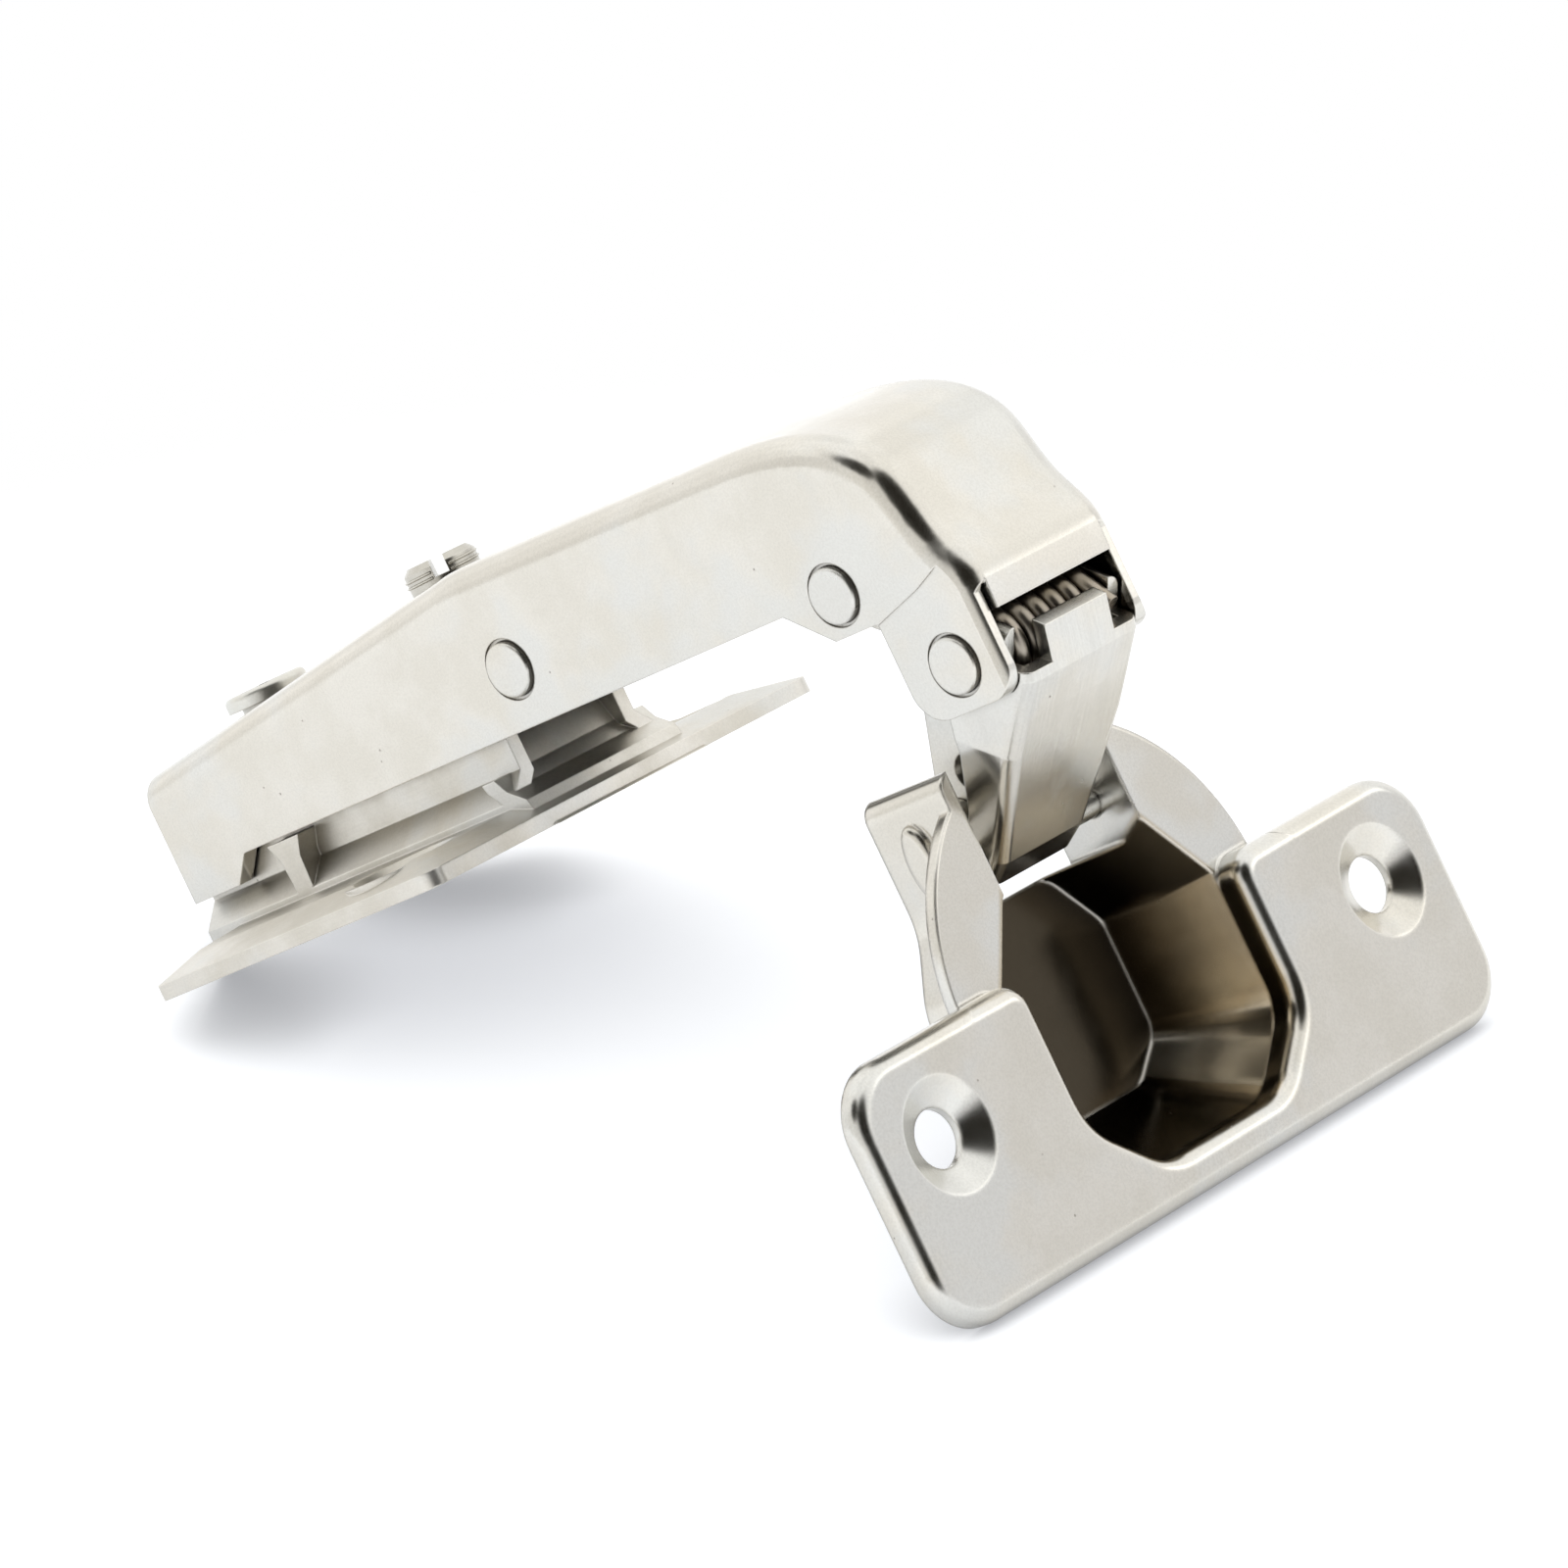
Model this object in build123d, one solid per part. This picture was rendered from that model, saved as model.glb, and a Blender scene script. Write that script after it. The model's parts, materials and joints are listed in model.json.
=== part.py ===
from build123d import *

import os
from math import asin, atan2, cos, degrees, hypot, radians, sin

# Concealed cup hinge with a nose bent down by a right angle, for a blind corner door. It is
# modelled with the door at 90 degrees. Millimetres. X runs from the tail of the arm to its
# nose, Z away from the cabinet panel, and Y is the hinge axis direction. The origin lies on
# the panel, midway between the two screw holes of the mounting plate.

# Clearances
SLIDE_GAP = 0.25  # arm beside and above the mounting plate
RUN_FIT = 0.03  # radial play of a turning joint
PRESS_GAP = 0.02  # radial play of a pressed or riveted part
FACE_GAP = 0.1  # axial play between faces that turn past each other
SEAT_GAP = 0.3  # a piece resting beside what carries it

# Mounting plate
PLATE_SHEET = 1.3
PLATE_FRONT = 9.4
PLATE_TAIL = -33.4
WING_REACH = 22.5  # centre line to the side of a wing
WING_TAPER_START = -25.5
WING_RISE = 1.1
WING_SLOPE = 4.0
WING_LIP = 0.8
WING_CORNER = 1.5
SCREW_SPACING = 32.0
SCREW_HOLE = 6.4
SCREW_SINK = 8.8
SCREW_SINK_DEPTH = 1.2
SCREW_BOSS = 10.0
CHANNEL_FOOT_GAP = 0.25  # channel foot beyond the side of the arm
CHANNEL_FOOT_TOP = 2.9
CHANNEL_LEAN_TOP = 4.9
CHANNEL_TOP = 14.0
CHANNEL_END = 6.2
CHANNEL_FOLD = 1.6
APRON_TOE = 10.0
APRON_TOP = 2.6
LUG_MIDDLE = -20.4
LUG_WIDTH = 4.0
LUG_LOW = 2.6
LUG_TOP = 7.2

# Arm
ARM_WIDTH = 16.9
ARM_SHEET = 1.5
ARM_TAIL = -33.6
ARM_TAIL_TOP = 15.9
ARM_FOOT = 5.3
ARM_FOOT_LENGTH = 5.9
ARM_EDGE = 7.5
ARM_CREST = 20.75  # highest point of the web, where its slope ends
ARM_CREST_X = 8.5
ARM_CREST_ROUND = 18.0
ARM_BROW = 20.2  # web where the nose starts to bend
ARM_BROW_X = 39.0
ARM_FOLD = 2.3
EAR_REACH = 3.2  # link rivet to the lower edge round it
NOSE_BACK = 5.3  # nose rivet to the rear edge of the nose
NOSE_FRONT = 4.4
NOSE_LOW = 3.55
CAP_REACH = 5.0  # nose rivet to the front of the cap over the spring
CAP_BOTTOM = 2.55
CAP_SLIT = 0.35
LIP_RISE = 4.9  # height over the nose rivet at which the lip parts from the walls
NOSE_STEP = 0.2  # the walls of the nose stand in from those of the arm

# Pivots in X and Z with the door at 90 degrees
LINK_RIVET = (47.1, 7.5)
NOSE_RIVET = (55.1, -0.65)
OUTER_PIN = (45.2, -15.0)
INNER_PIN = (44.5, -11.3)
RIVET_HEAD = 4.4
RIVET_RISE = 0.35
RIVET_GROOVE = 0.3
RIVET_SHANK = 2.8
NOSE_SHANK = 3.4
STAPLE_WIRE = 2.4

# Turns from open to closed, in degrees: the cup turns through a right angle
CUP_TURN = 90.0
INNER_TURN = 35.2
PIN_SWEEP_GAP = 0.3

# Outer link
LINK_SHEET = 1.2
LINK_TOE_WIDTH = 9.6
LINK_TOE = 1.6  # beyond the outer pin
LINK_EYE = 4.4
LINK_FOLD = 1.1
TONGUE_WIDTH = 7.2

# Inner link, a pack of stamped plates
PACK_COUNT = 10
PACK_SHEET = 0.68
PACK_PLAY = 0.02
PACK_MIDDLE = 4  # plates that stop short behind the damper rod
INNER_EYE = 4.5
LINK_BODY = 4.0  # width of the link between its eyes
LINK_BOW = 2.3  # how far the body bends towards the outer link
REAR_EYE = 9.0
REAR_BORE_PLAY = 0.85  # radial, takes up the drift of the linkage
REAR_BORE_SHIFT = (0.65, -0.45)
HEEL_SIZE = 4.4
HEEL_REACH = (-3.4, 4.4)
TINE_SIZE = 3.0
TINE_REACH = (-8.4, 4.6)

# Spring round the nose rivet
SPRING_WIRE = 1.6
SPRING_PITCH = 1.8
SPRING_GAP = 0.35
SPRING_SIDE = 0.15  # least room between the coil and each side of the outer link
SPRING_ARM_LEG = 6.4
SPRING_LINK_LEG = 3.3

# Damper
DAMPER_HEIGHT = 12.2
DAMPER_SIZE = 8.0
DAMPER_WALL = 0.7
DAMPER_LENGTH = 25.3
DAMPER_SETBACK = 12.6  # link rivet to the front of the cylinder
CAP_DEPTH = 3.0
CAP_HEAD = 1.2
ROD_SIZE = 2.3
ROD_OUT = 6.25
ROD_STROKE_SPARE = 6.0
SEAL_LENGTH = 2.6
PISTON_LENGTH = 3.0
PISTON_GAP = 0.08
PAD_SIZE = 7.4
PAD_SETBACK = 2.7  # rear of the cylinder to the middle of the pads
PAD_SADDLE = 1.2  # how far a pad reaches round the cylinder
STUB_GAP = 0.95  # stub rivet to the side of the cylinder

# Cup
FLANGE_FRONT = 52.2
CUP_SCREW_LINE = -30.3
CUP_SCREW_SPACING = 52.0
CUP_SCREW_HOLE = 4.5
CUP_SCREW_SINK = 8.9
CUP_SINK_DEPTH = 1.3
CUP_OFFSET = 5.5
CUP_SIZE = 34.8
CUP_SHEET = 1.1
FLANGE_WIDTH = 67.4
FLANGE_LOW = 13.4
FLANGE_HIGH = 7.3
FLANGE_DEPTH = 2.0
FLANGE_CORNER = 5.0
FLANGE_ROUND = 1.3
MOUTH_ROUND = 1.4  # rolled edge of the pocket
EYE_LENGTH = 6.2  # pressed eyes that cover the ends of the pivots
EYE_WIDTH = 3.0
EYE_RISE = 0.8
SHOULDER_DEPTH = 2.8
POCKET_WIDTH = 25.2
POCKET_LOW = 9.9
POCKET_DEPTH = 11.7
POCKET_CORNER = 5.0
FLOOR_WIDTH = 17.6
FLOOR_LOW = 5.6
FLOOR_HIGH = 11.6
THROAT_WIDTH = 16.2
THROAT_TOP = 22.8
THROAT_DEPTH = 11.4
THROAT_WALL = 1.3

# Screws
FIXING_X = -24.4
FIXING_HEAD = 7.0
FIXING_HEAD_HEIGHT = 1.2
FIXING_SHANK = 4.8
ADJUST_X = 0.6
ADJUST_SIZE = 6.0
ADJUST_RISE = 2.4
ADJUST_NECK = 3.8
ADJUST_FOOT = 5.8
ADJUST_FOOT_HEIGHT = 0.9
DRIVE_SLOT = 1.2
DRIVE_DEPTH = 1.4
SLIDE_TRAVEL = 2.0

ARM_HALF = ARM_WIDTH / 2
ARM_INSIDE = ARM_HALF - ARM_SHEET
CHANNEL_HALF = ARM_INSIDE - SLIDE_GAP
FOOT_HALF = ARM_HALF + CHANNEL_FOOT_GAP
LINK_HALF = ARM_INSIDE - SLIDE_GAP
SPRING_ROOM = 2 * (LINK_HALF - LINK_SHEET - SPRING_SIDE)
SPRING_TURNS = int((SPRING_ROOM - SPRING_WIRE) / SPRING_PITCH)
PACK_STEP = PACK_SHEET + PACK_PLAY
DAMPER_START = LINK_RIVET[0] - DAMPER_SETBACK - DAMPER_LENGTH
DAMPER_PIVOT = (DAMPER_START + PAD_SETBACK, DAMPER_HEIGHT)
STUB_END = DAMPER_SIZE / 2 + STUB_GAP
PIN_END = THROAT_WIDTH / 2 + THROAT_WALL * 0.7


def slab(face, low, high):
    """A shape drawn in X and Z, made thick along Y from low to high."""
    return extrude(Plane.XZ.offset(-high) * face, high - low)


def across(face, start, end):
    """A shape drawn in Y and Z, made long along X from start to end."""
    return extrude(Plane.YZ.offset(start) * face, end - start)


def bar(point, size, low, high):
    """A round bar along Y through a point given in X and Z."""
    middle = Pos(point[0], (low + high) / 2, point[1])
    return middle * Rot(90, 0, 0) * Cylinder(size / 2, high - low)


def outline(points, radius=0.0):
    """A closed shape through the points, with its corners rounded."""
    face = make_face(Polyline(*points, close=True))
    if radius > 0:
        face = fillet(face.vertices(), radius)
    return face


def mirrored(points):
    """The points given for one side, followed by those of the other side."""
    return points + [(-x, y) for x, y in reversed(points)]


def web_top(x):
    """Height of the top of the arm's web along its straight part."""
    slope = (ARM_CREST - ARM_TAIL_TOP) / (ARM_CREST_X - ARM_TAIL)
    return ARM_TAIL_TOP + slope * (x - ARM_TAIL)


# ---------------------------------------------------------------- mounting plate


def wing_outline(inset):
    front = PLATE_FRONT - inset
    side = WING_REACH - inset
    tail = PLATE_TAIL + inset
    points = [
        (front, -side),
        (front, side),
        (WING_TAPER_START + inset * 0.4, side),
        (tail, FOOT_HALF),
        (tail, -FOOT_HALF),
        (WING_TAPER_START + inset * 0.4, -side),
    ]
    return outline(points, WING_CORNER)


def wings():
    low = wing_outline(0)
    top = PLATE_SHEET + WING_RISE
    solid = extrude(low, PLATE_SHEET)
    solid += loft([Pos(0, 0, PLATE_SHEET) * low, Pos(0, 0, top) * wing_outline(WING_SLOPE)])
    hollow = loft([wing_outline(WING_LIP), Pos(0, 0, WING_RISE) * wing_outline(WING_LIP + WING_SLOPE)])
    return solid - hollow


def channel_face(inset):
    points = [
        (FOOT_HALF - inset, WING_RISE),
        (FOOT_HALF - inset, CHANNEL_FOOT_TOP - inset * 0.4),
        (CHANNEL_HALF - inset, CHANNEL_LEAN_TOP - inset * 0.4),
        (CHANNEL_HALF - inset, CHANNEL_TOP - inset),
    ]
    face = outline(mirrored(points))
    top = face.vertices().group_by(Axis.Y)[-1]
    return fillet(top, CHANNEL_FOLD - inset)


def apron():
    top = CHANNEL_TOP
    end = CHANNEL_END
    sheet = PLATE_SHEET
    outer = [
        (APRON_TOE, 0),
        (end + 2.0, 0.65),
        (end + 1.4, APRON_TOP),
        (end - 0.3, APRON_TOP + 1.1),
        (end - 1.1, CHANNEL_LEAN_TOP),
        (end - 2.0, ARM_EDGE),
        (end - 2.6, top - 1.6),
        (end - 4.0, top),
    ]
    inner = [
        (end - 4.2, top - sheet),
        (end - 3.7, top - 2.2),
        (end - 3.3, ARM_EDGE - 0.3),
        (end - 2.4, CHANNEL_LEAN_TOP - 0.7),
        (end - 1.2, APRON_TOP + 0.1),
        (end + 0.3, APRON_TOP - 0.6),
        (end + 1.0, 0),
    ]
    face = outline(outer + inner)
    low = slab(face, -FOOT_HALF, FOOT_HALF)
    keep = Pos(end, 0, CHANNEL_LEAN_TOP) * Box(
        20, 2 * FOOT_HALF, 2 * CHANNEL_LEAN_TOP, align=(Align.CENTER, Align.CENTER, Align.MAX)
    )
    high = slab(face, -CHANNEL_HALF, CHANNEL_HALF)
    return (low & keep) + high


def mounting_plate():
    plate = wings()
    plate -= across(Rectangle(2 * FOOT_HALF - 0.6, 8), PLATE_TAIL - 1, CHANNEL_END + 1.0)
    shell = channel_face(0) - channel_face(PLATE_SHEET)
    plate += across(shell, PLATE_TAIL, CHANNEL_END)
    clear = Pos(CHANNEL_END - 2.6, 0, ARM_EDGE) * Box(
        20, 60, 20, align=(Align.MIN, Align.CENTER, Align.MIN)
    )
    plate = plate - clear + apron()
    lug = slab(lug_face(), -FOOT_HALF, FOOT_HALF)
    plate += lug - slab(lug_face(), 0.6 - CHANNEL_HALF, CHANNEL_HALF - 0.6)
    top = PLATE_SHEET + WING_RISE
    for side in (-1, 1):
        place = Pos(0, side * SCREW_SPACING / 2, 0)
        plate += place * Cylinder(
            SCREW_BOSS / 2, top - 0.2, align=(Align.CENTER, Align.CENTER, Align.MIN)
        )
        plate -= place * Cylinder(SCREW_HOLE / 2, 20)
        sink = Pos(0, 0, top - SCREW_SINK_DEPTH) * Cone(
            SCREW_HOLE / 2,
            SCREW_SINK / 2,
            SCREW_SINK_DEPTH,
            align=(Align.CENTER, Align.CENTER, Align.MIN),
        )
        plate -= place * sink
    collar = Pos(FIXING_X, 0, CHANNEL_TOP - PLATE_SHEET) * Cylinder(
        FIXING_SHANK / 2 + 1.2, 1.6, align=(Align.CENTER, Align.CENTER, Align.MAX)
    )
    plate += collar
    plate -= Pos(FIXING_X, 0, CHANNEL_TOP) * Cylinder(FIXING_SHANK / 2 + RUN_FIT, 12)
    return plate - foot_slot()


def lug_face():
    """Side view of the pressed tab on each side of the channel, narrow at its foot."""
    half = LUG_WIDTH / 2
    points = [(half * 0.5, LUG_LOW), (half * 0.6, LUG_TOP - 1.6), (half, LUG_TOP)]
    return Pos(LUG_MIDDLE, 0) * outline(mirrored(points))


def foot_slot():
    """Slot that takes the foot of the adjusting screw, open towards the nose."""
    neck = ADJUST_NECK + 2 * SLIDE_GAP
    foot = ADJUST_FOOT + 2 * SEAT_GAP
    back = ADJUST_X - SLIDE_TRAVEL
    under = CHANNEL_TOP - PLATE_SHEET
    low = under - ADJUST_FOOT_HEIGHT - 2 * SEAT_GAP
    length = CHANNEL_END - back
    slot = Pos(back, 0) * (Circle(neck / 2) + Pos(length / 2, 0) * Rectangle(length, neck))
    room = Pos(back, 0) * (Circle(foot / 2) + Pos(length / 2, 0) * Rectangle(length, foot))
    cut = Pos(0, 0, under - 0.1) * extrude(slot, 2 * PLATE_SHEET)
    return cut + Pos(0, 0, low) * extrude(room, under - low)


# ---------------------------------------------------------------- arm


def nose_curve(inset):
    """Front of the sheet from the lip up over the nose to the brow, moved in by inset."""
    nose_x, nose_z = NOSE_RIVET
    turn = [(4.5, 6.8), (3.0, 9.5), (2.1, 12.2), (1.1, 15.1), (-1.4, 17.8), (-6.0, 19.8)]
    curve = Spline(
        (nose_x + CAP_REACH, nose_z + LIP_RISE),
        *[(nose_x + x, nose_z + z) for x, z in turn],
        (ARM_BROW_X, ARM_BROW),
        tangents=[(0, 1), (ARM_BROW_X - ARM_CREST_X, ARM_BROW - ARM_CREST)],
        tangent_scalars=[1, -1],
    )
    if inset == 0:
        return curve
    ways = [curve.tangent_at(step / 16) for step in range(17)]
    spots = [curve.position_at(step / 16) for step in range(17)]
    moved = [spot + inset * way.rotate(Axis.Z, 90) for spot, way in zip(spots, ways)]
    return Spline(*moved, tangents=[ways[0], ways[-1]])


def arm_hood(inset):
    """Side view of the folded sheet: the web, the nose and room below them for the walls."""
    front = nose_curve(inset)
    cap = NOSE_RIVET[0] + CAP_REACH - inset
    below = NOSE_RIVET[1] - 12.0
    tail = ARM_TAIL - 4 * inset
    crest = (ARM_CREST_X, ARM_CREST - inset)
    edges = [
        front,
        Polyline(
            front.position_at(1),
            crest,
            (tail, web_top(tail) - inset),
            (tail, below),
            (cap, below),
            front.position_at(0),
        ),
    ]
    face = make_face(edges)
    top = face.vertices().sort_by(Axis.Y)[-1]
    return fillet(top, ARM_CREST_ROUND)


def wall_edge():
    """Side view of what the lower edge of the walls leaves, from the tail round to the nose."""
    link_x, link_z = LINK_RIVET
    nose_x, nose_z = NOSE_RIVET
    back = nose_x - NOSE_BACK
    front = nose_x + NOSE_FRONT
    ear = link_z - EAR_REACH
    low = nose_z - NOSE_LOW
    foot_end = ARM_TAIL + ARM_FOOT_LENGTH
    edges = [
        Polyline(
            (ARM_TAIL - 1, ARM_FOOT),
            (foot_end, ARM_FOOT),
            (foot_end + 2.2, ARM_EDGE),
            (link_x - 5.8, ARM_EDGE),
            (link_x - 1.8, ear),
            (back, ear),
            (back, nose_z - 1.1),
        ),
        ThreePointArc((back, nose_z - 1.1), (back + 0.75, nose_z - 2.7), (back + 2.5, low)),
        Line((back + 2.5, low), (front - 2.0, low)),
        ThreePointArc((front - 2.0, low), (front - 0.6, low + 0.6), (front, low + 2.0)),
        Polyline(
            (front, low + 2.0),
            (front, nose_z + 4.2),
            (front + 1.8, nose_z + LIP_RISE + 1.4),
            (front + 1.8, 2 * ARM_CREST),
            (ARM_TAIL - 1, 2 * ARM_CREST),
            (ARM_TAIL - 1, ARM_FOOT),
        ),
    ]
    return make_face(edges)


def arm():
    solid = slab(arm_hood(0), -ARM_HALF, ARM_HALF)
    folds = [
        e
        for e in solid.edges()
        if abs(abs(e.center().Y) - ARM_HALF) < 1e-3
        and e.center().X > ARM_TAIL + 1
        and e.center().Z > NOSE_RIVET[1] - 11
    ]
    solid = fillet(folds, ARM_FOLD)
    solid &= slab(wall_edge(), -ARM_WIDTH, ARM_WIDTH)
    solid -= slab(arm_hood(ARM_SHEET), -ARM_INSIDE, ARM_INSIDE)
    nose_x, nose_z = NOSE_RIVET
    mouth = [
        (nose_x + 2, nose_z - 8),
        (nose_x + 8, nose_z - 8),
        (nose_x + 8, nose_z + 4.6),
        (nose_x + 2, nose_z + 4.6),
    ]
    solid -= slab(outline(mouth), -ARM_INSIDE, ARM_INSIDE)
    cap = nose_x + CAP_REACH
    lip = [
        (cap - ARM_SHEET, nose_z + CAP_BOTTOM),
        (cap - 0.1, nose_z + CAP_BOTTOM),
        (cap, nose_z + LIP_RISE),
        (cap - ARM_SHEET + 0.1, nose_z + LIP_RISE + 0.1),
    ]
    solid += slab(outline(lip), -ARM_INSIDE + CAP_SLIT, ARM_INSIDE - CAP_SLIT)
    crease = [(-7.0, 4.4), (0.0, 6.15), (1.9, 6.85), (9.0, 10.0), (9.0, -8.0), (-7.0, -8.0)]
    step = slab(outline([(nose_x + x, nose_z + z) for x, z in crease]), ARM_HALF - NOSE_STEP, ARM_WIDTH)
    solid -= step + mirror(step, Plane.XZ)
    for point in (LINK_RIVET, NOSE_RIVET, DAMPER_PIVOT):
        face = rivet_face(point)
        solid -= bar(point, RIVET_HEAD + 2 * PRESS_GAP, -ARM_WIDTH, ARM_WIDTH)
        solid -= bar(point, RIVET_HEAD + 2 * RIVET_GROOVE, face - RIVET_GROOVE, ARM_WIDTH)
        solid -= bar(point, RIVET_HEAD + 2 * RIVET_GROOVE, -ARM_WIDTH, RIVET_GROOVE - face)
    solid -= Pos(ADJUST_X, 0, web_top(ADJUST_X)) * Cylinder(ADJUST_SIZE / 2 + RUN_FIT, 8)
    slot = SlotCenterToCenter(2 * SLIDE_TRAVEL, FIXING_SHANK + 2 * SLIDE_GAP)
    solid -= Pos(FIXING_X, 0, web_top(FIXING_X) - 4) * extrude(slot, 8)
    return solid


# ---------------------------------------------------------------- rivets


def rivet_face(point):
    """Half the width of the arm where a rivet comes out."""
    return ARM_HALF - NOSE_STEP * (point == NOSE_RIVET)


def rivet_head(point):
    """The head of a rivet in the wall on the +Y side, a little proud of it."""
    head = bar(point, RIVET_HEAD, ARM_INSIDE, rivet_face(point) + RIVET_RISE)
    return chamfer(head.edges().group_by(Axis.Y)[-1], 0.12)


def rivet(point, shank):
    """A rivet through both walls of the arm."""
    head = rivet_head(point)
    return head + mirror(head, Plane.XZ) + bar(point, shank, -ARM_INSIDE, ARM_INSIDE)


def damper_stub(side):
    """A short rivet that holds a pad of the damper against one wall of the arm."""
    stub = rivet_head(DAMPER_PIVOT)
    stub += bar(DAMPER_PIVOT, RIVET_SHANK, STUB_END, ARM_INSIDE)
    if side < 0:
        stub = mirror(stub, Plane.XZ)
    return stub


# ---------------------------------------------------------------- outer link


def link_frame():
    """Length and unit directions, along the outer link and out through its web."""
    dx = OUTER_PIN[0] - NOSE_RIVET[0]
    dz = OUTER_PIN[1] - NOSE_RIVET[1]
    length = hypot(dx, dz)
    along = (dx / length, dz / length)
    return length, along, (-along[1], along[0])


def on_link(along_by, out_by):
    """A point of the side view, given along the link and out from its centre line."""
    length, along, out = link_frame()
    x = NOSE_RIVET[0] + along[0] * along_by + out[0] * out_by
    z = NOSE_RIVET[1] + along[1] * along_by + out[1] * out_by
    return (x, z)


def link_plan(inset, length):
    """Front view of the outer link, square to its web: wide at the nose, narrow at the toe."""
    half = LINK_HALF - inset
    toe = LINK_TOE_WIDTH / 2 - inset
    return [(-6.0, half), (length * 0.4, half), (length + LINK_TOE, toe), (length + 9.0, toe - 0.6)]


def out_by(x, z):
    """How far a place lies out from the link's centre line, on the side of its web."""
    out = link_frame()[2]
    return (x - NOSE_RIVET[0]) * out[0] + (z - NOSE_RIVET[1]) * out[1]


def web_block(inset):
    length, along, out = link_frame()
    origin = (NOSE_RIVET[0], 0, NOSE_RIVET[1])
    plane = Plane(origin=origin, x_dir=(along[0], 0, along[1]), z_dir=(out[0], 0, out[1]))
    points = link_plan(inset, length)
    both = points + [(x, -y) for x, y in reversed(points)]
    return extrude(plane.offset(-20) * outline(both), 40)


def outer_link():
    length = link_frame()[0]
    web = [(length + LINK_TOE, 1.35), (length - 0.6, 2.35), (3.8, 5.0), (0.4, 5.65), (-3.0, 4.6)]
    back = [(-3.3, 0.2), (-2.2, -2.6), (2.6, -2.5), (8.0, -0.7), (length - 4.6, -0.4)]
    toe = [(length, -0.95), (length + 1.1, 0.3)]
    side = outline([on_link(*p) for p in web + back + toe])
    side = fillet([v for v in side.vertices() if out_by(v.X, v.Y) < -1.5], 0.9)
    solid = slab(side, -LINK_HALF, LINK_HALF) & web_block(0)
    folds = [
        e
        for e in solid.edges()
        if abs(e.center().Y) > LINK_TOE_WIDTH / 2 - 0.8
        and out_by(e.center().X, e.center().Z) > 1.2
        and abs(e.tangent_at(0.5).Y) < 0.5
    ]
    solid = fillet(folds, LINK_FOLD)
    rear = [(length - 3, 0.5), (length + 3, 0.5), (length + 3, -3), (length - 3, -3)]
    eye = Pos(*OUTER_PIN) * Circle(LINK_EYE / 2) & outline([on_link(*p) for p in rear])
    solid += slab(eye, -LINK_HALF, LINK_HALF) & web_block(0)
    sheet = LINK_SHEET
    room = [
        (length + LINK_TOE + 3, 1.75 - sheet),
        (length + 1.1, 1.75 - sheet),
        (length - 0.6, 2.35 - sheet),
        (3.8, 5.0 - sheet),
        (0.4, 5.65 - sheet),
        (-3.0, 4.6 - sheet),
        (-6.0, 3.6 - sheet),
        (-6.0, -9.0),
        (length + LINK_TOE + 3, -9.0),
    ]
    hollow = slab(outline([on_link(*p) for p in room]), -LINK_HALF, LINK_HALF)
    solid -= hollow & web_block(LINK_SHEET)
    corner = [(-0.3, 3.3), (-0.3, 9.0), (-9.0, 9.0), (-9.0, 3.3)]
    for low in (-LINK_HALF - 1, TONGUE_WIDTH / 2):
        high = low + LINK_HALF + 1 - TONGUE_WIDTH / 2
        solid -= slab(outline([on_link(*p) for p in corner]), low, high)
    solid -= bar(NOSE_RIVET, NOSE_SHANK + 2 * RUN_FIT, -ARM_WIDTH, ARM_WIDTH)
    solid -= bar(OUTER_PIN, STAPLE_WIRE + 2 * RUN_FIT, -ARM_WIDTH, ARM_WIDTH)
    return solid


# ---------------------------------------------------------------- inner link


def lobe(reach, size):
    """Outline that joins the rear eye to a rounded end."""
    x, z = LINK_RIVET
    distance = hypot(*reach)
    angle = degrees(atan2(reach[1], reach[0]))
    return taper_bar((x, z), REAR_EYE / 2, distance, angle, size / 2)


def taper_bar(start, start_radius, distance, angle, end_radius):
    """Two round ends joined by their common tangents."""
    lean = asin((start_radius - end_radius) / distance)
    edge_x = start_radius * sin(lean)
    edge_y = start_radius * cos(lean)
    far_x = distance + end_radius * sin(lean)
    far_y = end_radius * cos(lean)
    middle = make_face(
        Polyline((edge_x, edge_y), (far_x, far_y), (far_x, -far_y), (edge_x, -edge_y), close=True)
    )
    shape = middle + Circle(start_radius) + Pos(distance, 0) * Circle(end_radius)
    return Pos(*start) * Rot(0, 0, angle) * shape


def pin_sweep():
    """Room that the outer pin needs in the inner link as the cup turns about the inner pin."""
    dx = OUTER_PIN[0] - INNER_PIN[0]
    dz = OUTER_PIN[1] - INNER_PIN[1]
    reach = hypot(dx, dz)
    room = STAPLE_WIRE / 2 + PIN_SWEEP_GAP
    start = degrees(atan2(dz, dx))
    end = start + CUP_TURN + INNER_TURN
    ring = Circle(reach + room) - Circle(reach - room)
    steps = [radians(start + (end - start) * k / 4) for k in range(5)]
    wedge = make_face(
        Polyline((0, 0), *[(4 * reach * cos(a), 4 * reach * sin(a)) for a in steps], close=True)
    )
    tip = Pos(reach * cos(steps[-1]), reach * sin(steps[-1])) * Circle(room)
    return Pos(*INNER_PIN) * ((ring & wedge) + tip)


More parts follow.
